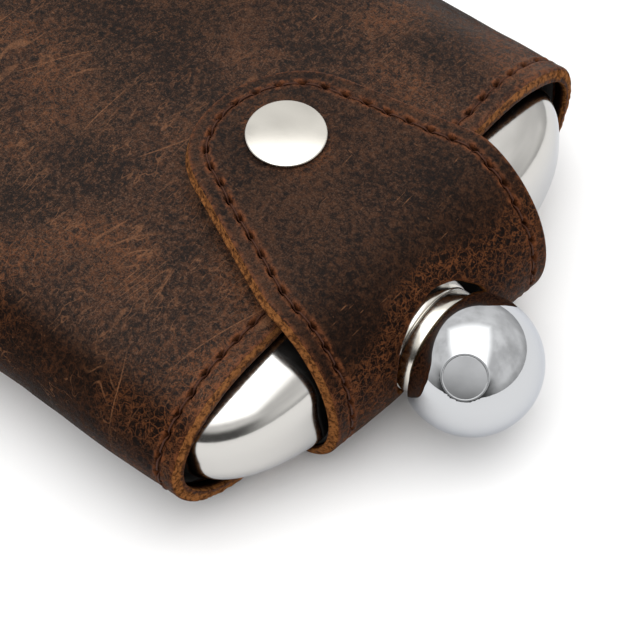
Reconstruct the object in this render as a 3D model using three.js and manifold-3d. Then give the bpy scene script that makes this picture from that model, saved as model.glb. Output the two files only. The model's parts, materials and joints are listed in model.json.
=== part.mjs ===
// Hip flask in a leather sleeve, lying on its back: +X to the cap, +Z up through the front face.
// Millimetres. The origin is the middle of the footprint, on the surface that the sleeve rests on.
import * as THREE from 'three';
import { mergeVertices } from 'three/addons/utils/BufferGeometryUtils.js';
import Module from 'manifold-3d';

const wasm = await Module();
wasm.setup();

// ---- driving dimensions -------------------------------------------------------------------
const OVERALL_LENGTH = 141.5;    // sleeve base to the far side of the ball
const FIT_GAP = 0.3;             // clearance kept between neighbouring pieces

// Ball cap
const BALL_RADIUS = 11.7;
const BALL_CAVITY_RADIUS = 9;
const BALL_AHEAD_OF_MOUTH = 20.95;  // ball centre, measured from the sleeve's mouth

// Sleeve cross-section, seen along X
const SLEEVE_HALF_WIDTH = 51.3;
const SLEEVE_HEIGHT = 32.7;
const SIDE_HEIGHT = 19;          // height of the widest line
const FRONT_FLAT = 31.5;         // half width of the flat front
const BACK_FLAT = 22.5;          // half width of the flat back
const LEATHER = 1.8;
const LINING = 0.6;
const LAYER_GAP = 0.2;
const SKIN = LEATHER + LAYER_GAP + LINING;
const BASE_RECESS = 1.2;
const BASE_THICKNESS = 2.2;

// Stitching
const THREAD_RADIUS = 0.35;
const STITCH_INSET = 3.1;        // stitch line to cut edge
const GROOVE_HALF = THREAD_RADIUS + FIT_GAP;

// Flask
const FLASK_HALF_WIDTH = 46.9;
const FLASK_HALF_DEPTH = 13;
const FLASK_TOP = 9.3;           // end of the shoulders, ahead of the mouth
const FLASK_LENGTH = 113.4;
const BODY_SIDE_SHIFT = 0.3;     // the body's middle, from the middle of the sleeve
const NECK_SIDE_SHIFT = -3.5;    // the neck, and the strap round it, stand off centre
const FLASK_AXIS_HEIGHT = 16.3;
const FRONT_ROUNDNESS = 2.9;     // exponents of the body's superellipse section
const BACK_ROUNDNESS = 2.35;
const FLASK_WALL = 0.8;
const SHOULDER_LENGTH = 16;
const SHOULDER_TOP_HALF = 22;
const SHOULDER_TOP_DEPTH = 6.8;
const SHOULDER_CROWN = 14.5;
const FOOT_RADIUS = 5;

// Neck
const SPOUT_RADIUS = 5.9;
const SPOUT_BORE = 4.7;
const SPOUT_END = 22.2;
const SPOUT_FIT = SPOUT_RADIUS + FIT_GAP;
const THREAD_PITCH = 1.5;
const THREAD_TURNS = 3;
const THREAD_HEIGHT = 0.5;
const FLANGE_RADIUS = 10.2;
const BAND_RADIUS = 9.1;
const COLLAR_END = 15.7;

// Flap
const FLAP_TURN = 6.5 * Math.PI / 180;  // the strap is sewn on a little askew
const FLAP_HALF = 23.5;
const FLAP_REACH = 15.6;         // how far the fold stands ahead of the mouth
const FLAP_RISE = 18.5;          // half the height of the fold
const FLAP_TILT = 0.055;         // slope of the tongue, tip up
const HINGE_X = 1;
const NECK_HOLE_RADIUS = 11.5;
const TIP_X = -20;               // middle of the tip's round end
const TIP_RADIUS = 16;
const FLAP_PIVOT_X = 16;

// Press stud, set a little to one side of the strap's middle
const SNAP_X = -20.9;
const SNAP_SIDE = 0.85;
const CAP_RADIUS = 6.65;
const CAP_HEIGHT = 1.3;
const BARREL_RADIUS = 1.35;

const MOUTH_X = OVERALL_LENGTH / 2 - BALL_AHEAD_OF_MOUTH - BALL_RADIUS;
const SLEEVE_END = -(OVERALL_LENGTH - BALL_AHEAD_OF_MOUTH - BALL_RADIUS);

// ---- materials ----------------------------------------------------------------------------
const material = (color, roughness, metalness = 0) =>
  new THREE.MeshStandardMaterial({ color, roughness, metalness });
const leather = material(0x3b2418, 0.6);
const lining = material(0x191716, 0.85);
const thread = material(0x2b1510, 0.8);
const steel = material(0xd4d4d0, 0.08, 1);
const chrome = material(0xdcdee0, 0.05, 1);
const nickel = material(0xcfc8ba, 0.25, 1);
const gilt = material(0xb58a4a, 0.25, 1);
const rubber = material(0x202022, 0.9);

// ---- solids -------------------------------------------------------------------------------
function indexed(positions, triangles) {
  const geometry = new THREE.BufferGeometry();
  geometry.setAttribute('position', new THREE.Float32BufferAttribute(positions, 3));
  geometry.setIndex(triangles);
  return geometry;
}

// Skins equal rings of points: the rings either close into a loop or are capped at both ends.
function skin(rings, loop) {
  const count = rings[0].length;
  const positions = rings.flat().flatMap((point) => [point.x, point.y, point.z]);
  const triangles = [];
  const spans = loop ? rings.length : rings.length - 1;
  for (let i = 0; i < spans; i += 1) {
    const near = i * count;
    const far = ((i + 1) % rings.length) * count;
    for (let j = 0; j < count; j += 1) {
      const k = (j + 1) % count;
      triangles.push(near + j, far + j, far + k, near + j, far + k, near + k);
    }
  }
  if (!loop) {
    const last = (rings.length - 1) * count;
    for (let j = 1; j < count - 1; j += 1) {
      triangles.push(0, j, j + 1);
      triangles.push(last, last + j + 1, last + j);
    }
  }
  return outward(indexed(positions, triangles));
}

function signedVolume(geometry) {
  const at = geometry.getAttribute('position');
  const index = geometry.getIndex();
  const corner = [new THREE.Vector3(), new THREE.Vector3(), new THREE.Vector3()];
  let sum = 0;
  for (let i = 0; i < index.count; i += 3) {
    corner.forEach((point, k) => point.fromBufferAttribute(at, index.getX(i + k)));
    sum += corner[0].dot(corner[1].cross(corner[2]));
  }
  return sum;
}

function outward(geometry) {
  if (signedVolume(geometry) > 0) return geometry;
  const index = Array.from(geometry.getIndex().array);
  for (let i = 0; i < index.length; i += 3) {
    [index[i], index[i + 1]] = [index[i + 1], index[i]];
  }
  geometry.setIndex(index);
  return geometry;
}

function merged(geometry) {
  const bare = geometry.clone();
  bare.deleteAttribute('normal');
  bare.deleteAttribute('uv');
  return outward(mergeVertices(bare, 1e-4));
}

function toManifold(geometry) {
  const shape = merged(geometry);
  const vertProperties = new Float32Array(shape.getAttribute('position').array);
  const triVerts = new Uint32Array(shape.getIndex().array);
  return new wasm.Manifold(new wasm.Mesh({ numProp: 3, vertProperties, triVerts }));
}

function fromManifold(solid) {
  const mesh = solid.getMesh();
  return indexed(Array.from(mesh.vertProperties), Array.from(mesh.triVerts));
}

function cut(geometry, ...cutters) {
  const start = toManifold(geometry);
  return fromManifold(cutters.reduce((solid, cutter) => solid.subtract(toManifold(cutter)), start));
}

function join(first, second) {
  return fromManifold(toManifold(first).add(toManifold(second)));
}

// Profile of [radius, x] points, turned about the X axis.
function turned(profile, segments = 28) {
  const points = profile.map(([radius, x]) => new THREE.Vector2(radius, x));
  const geometry = new THREE.LatheGeometry(points, segments);
  geometry.rotateZ(-Math.PI / 2);
  return merged(geometry);
}

// The same, turned about Z, for the press stud.
function turnedUpright(profile, segments = 24) {
  const geometry = turned(profile, segments);
  geometry.rotateY(-Math.PI / 2);
  return geometry;
}

function extruded(outline, depth, steps = 12) {
  const geometry = new THREE.ExtrudeGeometry(outline, { depth, bevelEnabled: false, curveSegments: steps });
  return merged(geometry);
}

function tube(curve, radius, steps) {
  const section = new THREE.Shape().absarc(0, 0, radius, 0, 2 * Math.PI);
  const options = { steps, extrudePath: curve, bevelEnabled: false, curveSegments: 3 };
  return merged(new THREE.ExtrudeGeometry(section, options));
}

function rod(radius, from, to, segments = 20) {
  return turned([[0, from], [radius, from], [radius, to], [0, to]], segments);
}

function uprightRod(radius, from, to, segments = 20) {
  return turnedUpright([[0, from], [radius, from], [radius, to], [0, to]], segments);
}

// ---- sleeve -------------------------------------------------------------------------------
// Section of the sleeve, as [y, z] points, drawn in from its outer surface by inset.
function sleeveSection(inset) {
  const steps = 8;
  const front = SLEEVE_HEIGHT - SIDE_HEIGHT - inset;
  const back = SIDE_HEIGHT - inset;
  const half = [];
  for (let i = 0; i <= steps; i += 1) {
    const angle = i / steps * Math.PI / 2;
    half.push([
      FRONT_FLAT + (SLEEVE_HALF_WIDTH - inset - FRONT_FLAT) * Math.sin(angle),
      SIDE_HEIGHT + front * Math.cos(angle)]);
  }
  for (let i = 1; i <= steps; i += 1) {
    const angle = i / steps * Math.PI / 2;
    half.push([
      BACK_FLAT + (SLEEVE_HALF_WIDTH - inset - BACK_FLAT) * Math.cos(angle),
      SIDE_HEIGHT - back * Math.sin(angle)]);
  }
  const mirrored = half.map(([y, z]) => [-y, z]).reverse();
  return [...half, ...mirrored];
}

// A band that runs all the way round the sleeve: its section is a closed list of [x, inset].
function sleeveBand(profile) {
  return skin(profile.map(([x, inset]) =>
    sleeveSection(inset).map(([y, z]) => new THREE.Vector3(x, y, z))), true);
}

function sleevePlate(from, to, inset) {
  return skin([from, to].map((x) =>
    sleeveSection(inset).map(([y, z]) => new THREE.Vector3(x, y, z))), false);
}

function groove(x) {
  const depth = THREAD_RADIUS + GROOVE_HALF;
  return [[x - GROOVE_HALF, 0], [x - GROOVE_HALF, depth], [x + GROOVE_HALF, depth], [x + GROOVE_HALF, 0]];
}

function stitchRing(x) {
  const sides = 6;
  const profile = Array.from({ length: sides }, (_, i) => {
    const angle = i / sides * 2 * Math.PI;
    return [x + THREAD_RADIUS * Math.cos(angle), THREAD_RADIUS + THREAD_RADIUS * Math.sin(angle)];
  });
  return sleeveBand(profile);
}

const mouthStitchX = -STITCH_INSET;
const baseStitchX = SLEEVE_END + BASE_RECESS + BASE_THICKNESS / 2;

// ---- flap ---------------------------------------------------------------------------------
// Fold of the flap, in its own frame: an upright half ellipse from the top down to the back.
function foldPoint(angle, inset) {
  return [(FLAP_REACH - inset) * Math.sin(angle), FLAP_RISE + (FLAP_RISE - inset) * Math.cos(angle)];
}

const foldStart = Math.asin((HINGE_X + FIT_GAP / 2) / FLAP_REACH);
const FOLD_STEPS = 22;
const TAIL_X = -3;               // the strap's tail, trimmed off along the sleeve's mouth

function foldShape(outer, inner) {
  const shape = new THREE.Shape();
  const angles = Array.from({ length: FOLD_STEPS + 1 }, (_, i) =>
    foldStart + i / FOLD_STEPS * (Math.PI - foldStart));
  angles.forEach((angle, i) => {
    const [x, z] = foldPoint(angle, outer);
    if (i === 0) shape.moveTo(x, z);
    else shape.lineTo(x, z);
  });
  shape.lineTo(TAIL_X, outer);
  shape.lineTo(TAIL_X, inner);
  angles.reverse().forEach((angle) => {
    const [x, z] = foldPoint(angle, inner);
    shape.lineTo(x, z);
  });
  return shape;
}

// A strip of the fold between two insets, before the neck hole is punched in it.
function foldStrip(outer, inner, half) {
  const geometry = extruded(foldShape(outer, inner), 2 * half);
  geometry.rotateX(Math.PI / 2);
  geometry.translate(0, half, 0);
  return geometry;
}

class FoldLine extends THREE.Curve {
  constructor(y, inset, from, to) {
    super();
    Object.assign(this, { y, inset, from, to });
  }

  getPoint(t, target = new THREE.Vector3()) {
    const [x, z] = foldPoint(this.from + t * (this.to - this.from), this.inset);
    return target.set(x, this.y, z);
  }
}

// Outline of the tongue, seen from above: straight sides that run tangent to a round tip.
function tongueOutline(inset) {
  const radius = TIP_RADIUS - inset;
  const half = FLAP_HALF - inset;
  const start = HINGE_X - FIT_GAP / 2;
  const reach = Math.hypot(start - TIP_X, half);
  const angle = Math.atan2(half, start - TIP_X) + Math.acos(radius / reach);
  return { radius, half, start, angle };
}

function tongueShape() {
  const { radius, half, start, angle } = tongueOutline(0);
  const shape = new THREE.Shape();
  shape.moveTo(start, half);
  shape.lineTo(TIP_X + radius * Math.cos(angle), radius * Math.sin(angle));
  shape.absarc(TIP_X, 0, radius, angle, 2 * Math.PI - angle, false);
  shape.lineTo(start, -half);
  shape.closePath();
  return shape;
}

function tongueStitchPath(height) {
  const { radius, half, start, angle } = tongueOutline(STITCH_INSET);
  const tipSteps = 14;
  const sideSteps = 7;
  const points = [];
  const corner = [TIP_X + radius * Math.cos(angle), radius * Math.sin(angle)];
  const begin = start - STITCH_INSET / 2;
  for (let i = 0; i < sideSteps; i += 1) {
    const t = i / sideSteps;
    points.push(new THREE.Vector3(begin + t * (corner[0] - begin), half + t * (corner[1] - half), height));
  }
  for (let i = 0; i <= tipSteps; i += 1) {
    const turn = angle + i / tipSteps * 2 * (Math.PI - angle);
    points.push(new THREE.Vector3(TIP_X + radius * Math.cos(turn), radius * Math.sin(turn), height));
  }
  for (let i = sideSteps - 1; i >= 0; i -= 1) {
    const mirror = points[i];
    points.push(new THREE.Vector3(mirror.x, -mirror.y, height));
  }
  return new THREE.CatmullRomCurve3(points, false, 'chordal');
}

const TONGUE_STITCH_STEPS = 46;
const FOLD_STITCH_STEPS = 20;
const foldStitchEnd = 2.75;      // angle at which the edge stitching stops, near the back

const neckPunch = rod(NECK_HOLE_RADIUS, HINGE_X, FLAP_REACH + 4, 36);
neckPunch.translate(0, 0, FLASK_AXIS_HEIGHT);

// Everything behind the sleeve's mouth, as seen from the turned flap.
function mouthTrim() {
  const size = 90;
  const trim = new THREE.BoxGeometry(size, size, size / 3);
  trim.translate(FIT_GAP - size / 2, 0, 0);
  trim.translate(-FLAP_PIVOT_X, -NECK_SIDE_SHIFT, 0);
  trim.rotateZ(FLAP_TURN);
  trim.translate(FLAP_PIVOT_X, 0, 0);
  return trim;
}

function foldStitchTube(side, radius) {
  const y = side * (FLAP_HALF - STITCH_INSET);
  const line = new FoldLine(y, THREAD_RADIUS, foldStart + 0.16, foldStitchEnd);
  return tube(line, radius, FOLD_STITCH_STEPS);
}

function makeFoldLeather() {
  const strip = foldStrip(0, LEATHER, FLAP_HALF);
  const grooves = [1, -1].map((side) => foldStitchTube(side, GROOVE_HALF));
  return cut(strip, neckPunch, mouthTrim(), ...grooves);
}

function makeFoldLining() {
  return cut(foldStrip(LEATHER + LAYER_GAP, SKIN, FLAP_HALF - 0.4), neckPunch, mouthTrim());
}

function makeTongueLeather() {
  const plate = extruded(tongueShape(), LEATHER, 20);
  plate.translate(0, 0, -LEATHER);
  const channel = tube(tongueStitchPath(-THREAD_RADIUS), GROOVE_HALF, TONGUE_STITCH_STEPS);
  const hole = uprightRod(BARREL_RADIUS + FIT_GAP, -SKIN, SKIN);
  hole.translate(SNAP_X, SNAP_SIDE, 0);
  return cut(plate, channel, hole);
}

function makeTongueLining() {
  const plate = extruded(tongueShape(), LINING, 20);
  plate.translate(0, 0, -SKIN);
  const hole = uprightRod(BARREL_RADIUS + FIT_GAP, -2 * SKIN, 0);
  hole.translate(SNAP_X, SNAP_SIDE, 0);
  return cut(plate, hole);
}

// ---- press stud ---------------------------------------------------------------------------
function makeSnapCap() {
  const rim = 0.45;
  const lift = 0.15;
  const dome = [[0, CAP_HEIGHT]];
  for (let i = 1; i <= 4; i += 1) {
    const t = i / 4;
    dome.push([CAP_RADIUS * 0.96 * t, CAP_HEIGHT - (CAP_HEIGHT - rim) * t * t]);
  }
  const profile = [
    ...dome, [CAP_RADIUS, rim * 0.8], [CAP_RADIUS, lift],
    [BARREL_RADIUS, lift], [BARREL_RADIUS, -SKIN - 0.1], [0, -SKIN - 0.1]];
  return turnedUpright(profile.reverse());
}

function ring(inner, outer, from, to, segments = 24) {
  return turnedUpright([[inner, from], [outer, from], [outer, to], [inner, to], [inner, from]], segments);
}

const snapBase = SLEEVE_HEIGHT + FIT_GAP;

function makeSnapStud() {
  return turnedUpright([
    [1.05, snapBase], [4.6, snapBase], [4.6, snapBase + 0.35], [1.6, snapBase + 0.45],
    [1.6, snapBase + 0.8], [2.1, snapBase + 1.1], [2.1, snapBase + 1.6], [1.6, snapBase + 1.9],
    [0, snapBase + 1.9], [0, snapBase + 1.3], [1.05, snapBase + 1.3], [1.05, snapBase]]);
}

function makeSnapPost() {
  const head = SLEEVE_HEIGHT - LEATHER - LAYER_GAP;
  const under = head - LINING - FIT_GAP;
  return turnedUpright([
    [0, under - 0.4], [3.2, under - 0.4], [3.2, under], [0.75, under],
    [0.75, snapBase + 1], [0, snapBase + 1]]);
}

// ---- flask --------------------------------------------------------------------------------
const FLASK_RING = 36;

// Section across the flask's body. Its middle is to one side of the neck's axis.
function bodySection(x, halfWidth, halfDepth) {
  const points = [];
  for (let i = 0; i < FLASK_RING; i += 1) {
    const angle = i / FLASK_RING * 2 * Math.PI;
    const side = Math.cos(angle);
    const rise = Math.sin(angle);
    const power = 2 / (rise > 0 ? FRONT_ROUNDNESS : BACK_ROUNDNESS);
    points.push(new THREE.Vector3(
      x,
      BODY_SIDE_SHIFT - NECK_SIDE_SHIFT + halfWidth * Math.sign(side) * Math.abs(side) ** power,
      halfDepth * Math.sign(rise) * Math.abs(rise) ** power));
  }
  return points;
}

function neckSection(x, radius) {
  return Array.from({ length: FLASK_RING }, (_, i) => {
    const angle = i / FLASK_RING * 2 * Math.PI;
    return new THREE.Vector3(x, radius * Math.cos(angle), radius * Math.sin(angle));
  });
}

// Half width and half depth of the flask where its outer surface is at x.
function flaskSize(x) {
  const along = Math.max(0, (x - FLASK_TOP + SHOULDER_LENGTH) / SHOULDER_LENGTH);
  const crown = Math.max(0, (x - FLASK_TOP + SHOULDER_CROWN) / SHOULDER_CROWN);
  const foot = Math.max(0, (FLASK_TOP - FLASK_LENGTH + FOOT_RADIUS - x) / FOOT_RADIUS);
  const tuck = 0.45 * FOOT_RADIUS * (1 - Math.sqrt(Math.max(0, 1 - foot * foot)));
  const ease = (t) => Math.sqrt(Math.max(0, 1 - t * t));
  return {
    width: SHOULDER_TOP_HALF + (FLASK_HALF_WIDTH - SHOULDER_TOP_HALF) * ease(along) - tuck,
    depth: SHOULDER_TOP_DEPTH + (FLASK_HALF_DEPTH - SHOULDER_TOP_DEPTH) * ease(crown) - tuck };
}

function flaskStations() {
  const bottom = FLASK_TOP - FLASK_LENGTH;
  const stations = [bottom, bottom + 0.2 * FOOT_RADIUS, bottom + 0.5 * FOOT_RADIUS, bottom + FOOT_RADIUS];
  const steps = 8;
  for (let i = 0; i <= steps; i += 1) {
    stations.push(FLASK_TOP - SHOULDER_LENGTH * (1 - Math.sin(i / steps * Math.PI / 2)));
  }
  return stations;
}

function makeFlaskShell() {
  const stations = flaskStations();
  const outer = stations.map((x) => {
    const { width, depth } = flaskSize(x);
    return bodySection(x, width, depth);
  });
  const inner = stations.map((x) => {
    const { width, depth } = flaskSize(x);
    return bodySection(Math.min(x, FLASK_TOP - FLASK_WALL), width - FLASK_WALL, depth - FLASK_WALL);
  }).reverse();
  const mouth = [FLASK_TOP, FLASK_TOP - FLASK_WALL].map((x) => neckSection(x, SPOUT_FIT));
  return skin([...outer, ...mouth, ...inner], true);
}

function makeFlaskBase() {
  const bottom = FLASK_TOP - FLASK_LENGTH;
  const { width, depth } = flaskSize(bottom);
  const inset = FLASK_WALL + FIT_GAP;
  return skin([bottom + 0.5, bottom + 1.3].map((x) =>
    bodySection(x, width - inset, depth - inset)), false);
}

function makeNeckCollar() {
  const start = FLASK_TOP + FIT_GAP;
  return turned([
    [SPOUT_FIT, start], [FLANGE_RADIUS - 0.3, start], [FLANGE_RADIUS, start + 0.4],
    [FLANGE_RADIUS, start + 1.5], [FLANGE_RADIUS - 0.5, start + 2], [BAND_RADIUS - 0.2, start + 2.2],
    [BAND_RADIUS - 0.2, start + 2.7], [BAND_RADIUS + 0.4, start + 2.9], [BAND_RADIUS + 0.4, start + 3.4],
    [BAND_RADIUS, start + 3.6], [BAND_RADIUS, COLLAR_END - 0.3], [BAND_RADIUS - 0.3, COLLAR_END],
    [SPOUT_FIT, COLLAR_END], [SPOUT_FIT, start]], 32);
}

// One helical ridge, with its root sunk into the spout.
function makeSpoutThread(start) {
  const perTurn = 20;
  const rings = [];
  for (let i = 0; i <= THREAD_TURNS * perTurn; i += 1) {
    const angle = i / perTurn * 2 * Math.PI;
    const x = start + i / perTurn * THREAD_PITCH;
    const crest = SPOUT_RADIUS + THREAD_HEIGHT;
    const root = SPOUT_RADIUS - 0.3;
    const section = [[root, -0.5], [crest, -0.12], [crest, 0.12], [root, 0.5]];
    rings.push(section.map(([radius, shift]) =>
      new THREE.Vector3(x + shift, radius * Math.cos(angle), radius * Math.sin(angle))));
  }
  return skin(rings, false);
}

function makeNeckSpout() {
  const start = FLASK_TOP - FLASK_WALL - 0.6;
  const pipe = turned([
    [SPOUT_BORE, start], [SPOUT_RADIUS, start], [SPOUT_RADIUS, SPOUT_END - 0.3],
    [SPOUT_RADIUS - 0.3, SPOUT_END], [SPOUT_BORE, SPOUT_END], [SPOUT_BORE, start]], 32);
  return join(pipe, makeSpoutThread(SPOUT_END - THREAD_TURNS * THREAD_PITCH - 0.9));
}

// ---- ball cap -----------------------------------------------------------------------------
const BALL_BASE = BALL_AHEAD_OF_MOUTH - 4.35;
const INSERT_RADIUS = 7.9;
const INSERT_BORE = SPOUT_RADIUS + THREAD_HEIGHT + FIT_GAP;
const INSERT_END = 24.6;
const SEAL_START = SPOUT_END + 0.25;
const SEAL_END = 23.3;
const DISC_RADIUS = 3.5;
const DISC_FACE = 11.05;         // flat facet's distance from the ball's centre
const facetAxis = new THREE.Vector3(0.374, -0.619, 0.691).normalize();

function ballArc(radius, fromX, toX, steps) {
  const from = Math.acos(fromX / radius);
  const to = Math.acos(toX / radius);
  return Array.from({ length: steps + 1 }, (_, i) => {
    const angle = from + i / steps * (to - from);
    return [radius * Math.sin(angle), BALL_AHEAD_OF_MOUTH + radius * Math.cos(angle)];
  });
}

function alongFacet(geometry) {
  const turn = new THREE.Quaternion().setFromUnitVectors(new THREE.Vector3(1, 0, 0), facetAxis);
  geometry.applyQuaternion(turn);
  geometry.translate(BALL_AHEAD_OF_MOUTH, 0, 0);
  return geometry;
}

function makeBallShell() {
  const opening = INSERT_RADIUS + FIT_GAP;
  const baseDrop = BALL_BASE - BALL_AHEAD_OF_MOUTH;
  const lipDrop = -Math.sqrt(BALL_CAVITY_RADIUS ** 2 - opening ** 2);
  const outer = ballArc(BALL_RADIUS, BALL_RADIUS, baseDrop, 12);
  const inner = ballArc(BALL_CAVITY_RADIUS, lipDrop, BALL_CAVITY_RADIUS, 7);
  const shell = turned([...outer, [opening, BALL_BASE], ...inner], 28);
  const face = alongFacet(rod(8, DISC_FACE, BALL_RADIUS + 2, 28));
  const pocket = alongFacet(rod(DISC_RADIUS + 0.25, DISC_FACE - 0.8, DISC_FACE + 1, 28));
  return cut(shell, face, pocket);
}

function makeCapDisc() {
  return alongFacet(rod(DISC_RADIUS, DISC_FACE - 0.5, DISC_FACE, 28));
}

function makeCapInsert() {
  return turned([
    [0, INSERT_END - 0.9], [INSERT_BORE, INSERT_END - 0.9], [INSERT_BORE, BALL_BASE + 0.1],
    [INSERT_RADIUS, BALL_BASE + 0.1], [INSERT_RADIUS, INSERT_END - 0.6],
    [INSERT_RADIUS - 0.6, INSERT_END], [0, INSERT_END]]);
}

function annulus(inner, outer, from, to) {
  return turned([[inner, from], [outer, from], [outer, to], [inner, to], [inner, from]]);
}

// ---- assembly -----------------------------------------------------------------------------
function named(name, geometry, finish) {
  const mesh = new THREE.Mesh(geometry, finish);
  mesh.name = name;
  return mesh;
}

const flapAngle = -FLAP_TURN;
const snapOnSleeve = new THREE.Vector3(
  FLAP_PIVOT_X + (SNAP_X - FLAP_PIVOT_X) * Math.cos(flapAngle) - SNAP_SIDE * Math.sin(flapAngle),
  NECK_SIDE_SHIFT + (SNAP_X - FLAP_PIVOT_X) * Math.sin(flapAngle) + SNAP_SIDE * Math.cos(flapAngle),
  0);

function postHole(geometry) {
  const hole = uprightRod(0.75 + FIT_GAP, FLASK_AXIS_HEIGHT, SLEEVE_HEIGHT + 5);
  hole.translate(snapOnSleeve.x, snapOnSleeve.y, 0);
  return cut(geometry, hole);
}

const sleeve = new THREE.Group();
sleeve.add(
  named('sleeve_wrap', postHole(sleeveBand([
    [SLEEVE_END, 0], ...groove(baseStitchX), ...groove(mouthStitchX), [0, 0],
    [0, LEATHER], [SLEEVE_END, LEATHER]])), leather),
  named('sleeve_lining', postHole(sleeveBand([
    [SLEEVE_END + BASE_RECESS + BASE_THICKNESS + FIT_GAP, LEATHER + LAYER_GAP],
    [-0.6, LEATHER + LAYER_GAP], [-0.6, SKIN],
    [SLEEVE_END + BASE_RECESS + BASE_THICKNESS + FIT_GAP, SKIN]])), lining),
  named('sleeve_base', sleevePlate(
    SLEEVE_END + BASE_RECESS, SLEEVE_END + BASE_RECESS + BASE_THICKNESS, LEATHER + FIT_GAP), leather),
  named('mouth_stitching', stitchRing(mouthStitchX), thread),
  named('base_stitching', stitchRing(baseStitchX), thread));

const stud = new THREE.Group();
stud.position.copy(snapOnSleeve);
stud.add(
  named('snap_stud', makeSnapStud(), nickel),
  named('snap_post', makeSnapPost(), nickel));

const tongue = new THREE.Group();
tongue.position.set(HINGE_X, 0, 2 * FLAP_RISE);
tongue.rotation.y = FLAP_TILT;
const onTongue = new THREE.Group();
onTongue.position.x = -HINGE_X;
const snapParts = new THREE.Group();
snapParts.position.set(SNAP_X, SNAP_SIDE, 0);
snapParts.add(
  named('snap_cap', makeSnapCap(), nickel),
  named('snap_socket', ring(2.7, 5.2, -SKIN - 1.6, -SKIN - FIT_GAP), nickel));
onTongue.add(
  named('flap_tongue', makeTongueLeather(), leather),
  named('flap_tongue_lining', makeTongueLining(), lining),
  named('tongue_stitching',
    tube(tongueStitchPath(-THREAD_RADIUS), THREAD_RADIUS, TONGUE_STITCH_STEPS), thread),
  snapParts);
tongue.add(onTongue);

const inFlapFrame = new THREE.Group();
inFlapFrame.position.x = -FLAP_PIVOT_X;
inFlapFrame.add(
  named('flap_fold', makeFoldLeather(), leather),
  named('flap_fold_lining', makeFoldLining(), lining),
  named('fold_stitching_left', foldStitchTube(-1, THREAD_RADIUS), thread),
  named('fold_stitching_right', foldStitchTube(1, THREAD_RADIUS), thread),
  tongue);
const flap = new THREE.Group();
flap.position.set(FLAP_PIVOT_X, NECK_SIDE_SHIFT, 0);
flap.rotation.z = flapAngle;
flap.add(inFlapFrame);

const flask = new THREE.Group();
flask.position.set(0, NECK_SIDE_SHIFT, FLASK_AXIS_HEIGHT);
flask.add(
  named('flask_shell', makeFlaskShell(), steel),
  named('flask_base', makeFlaskBase(), steel),
  named('neck_collar', makeNeckCollar(), steel),
  named('neck_spout', makeNeckSpout(), steel),
  named('cap_ball', makeBallShell(), chrome),
  named('cap_disc', makeCapDisc(), chrome),
  named('cap_insert', makeCapInsert(), steel),
  named('cap_seat_ring', annulus(INSERT_BORE, 9.35, COLLAR_END + FIT_GAP, BALL_BASE - FIT_GAP), gilt),
  named('cap_seal', annulus(3.6, INSERT_BORE - FIT_GAP, SEAL_START, SEAL_END), rubber));

const hipFlask = new THREE.Group();
hipFlask.position.x = MOUTH_X;
hipFlask.add(sleeve, stud, flap, flask);

export default hipFlask;
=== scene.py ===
"""Hip flask in a leather sleeve: its looks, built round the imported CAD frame."""

import itertools
import json
import math

import bmesh
import bpy
import numpy as np
from mathutils import Matrix, Vector
from mathutils.geometry import delaunay_2d_cdt


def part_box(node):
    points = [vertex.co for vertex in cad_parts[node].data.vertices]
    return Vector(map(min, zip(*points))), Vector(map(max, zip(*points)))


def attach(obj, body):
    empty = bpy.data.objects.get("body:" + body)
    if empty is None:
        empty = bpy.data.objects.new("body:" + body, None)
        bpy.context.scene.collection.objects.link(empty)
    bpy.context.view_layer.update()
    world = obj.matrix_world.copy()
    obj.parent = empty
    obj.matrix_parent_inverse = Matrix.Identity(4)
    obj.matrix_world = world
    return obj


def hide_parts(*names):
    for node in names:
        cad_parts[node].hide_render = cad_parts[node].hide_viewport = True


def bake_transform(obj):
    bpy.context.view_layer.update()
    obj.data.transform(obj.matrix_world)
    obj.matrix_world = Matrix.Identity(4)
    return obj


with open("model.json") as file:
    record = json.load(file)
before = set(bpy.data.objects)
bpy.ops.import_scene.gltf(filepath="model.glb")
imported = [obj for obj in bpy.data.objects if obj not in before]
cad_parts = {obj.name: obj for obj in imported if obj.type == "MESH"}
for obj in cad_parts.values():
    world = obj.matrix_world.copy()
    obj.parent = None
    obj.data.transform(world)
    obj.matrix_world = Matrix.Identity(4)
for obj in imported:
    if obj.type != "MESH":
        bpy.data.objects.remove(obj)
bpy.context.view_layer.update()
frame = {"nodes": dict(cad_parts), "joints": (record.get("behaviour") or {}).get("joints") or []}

# ---- sizes ----
# Lengths are millimetres. Points are measured from the middle of the sleeve's mouth, on the
# surface that the sleeve rests on: +X out of the mouth, +Z up. piece() turns them into metres.


def corners(node):
    low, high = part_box(node)
    return np.array(low) * 1000, np.array(high) * 1000


SLEEVE_LOW, SLEEVE_HIGH = corners("sleeve_wrap")
MOUTH_X = SLEEVE_HIGH[0]
SLEEVE_END = SLEEVE_LOW[0] - MOUTH_X
HALF_WIDTH = SLEEVE_HIGH[1]
HEIGHT = SLEEVE_HIGH[2]
SIDE_HEIGHT = 19.0       # height of the sleeve's widest line
FRONT_FLAT = 31.5        # half width of the flat front
BACK_FLAT = 22.5         # half width of the flat back
LEATHER = 1.8
RIM_LEATHER = 2.5        # the mouth's edge is swollen
RIM_FLARE = 0.55         # and bevelled, its inner side further out
FLAP_FLARE = 0.6
LINING = 0.6
LINING_DEPTH = 2.0
FIT_GAP = 0.3
BASE_LOW, BASE_HIGH = (c[0] - MOUTH_X for c in corners("sleeve_base"))

STITCH_INSET = 3.1
STITCH_PITCH = 3.85
THREAD_RADIUS = 0.15

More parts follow.
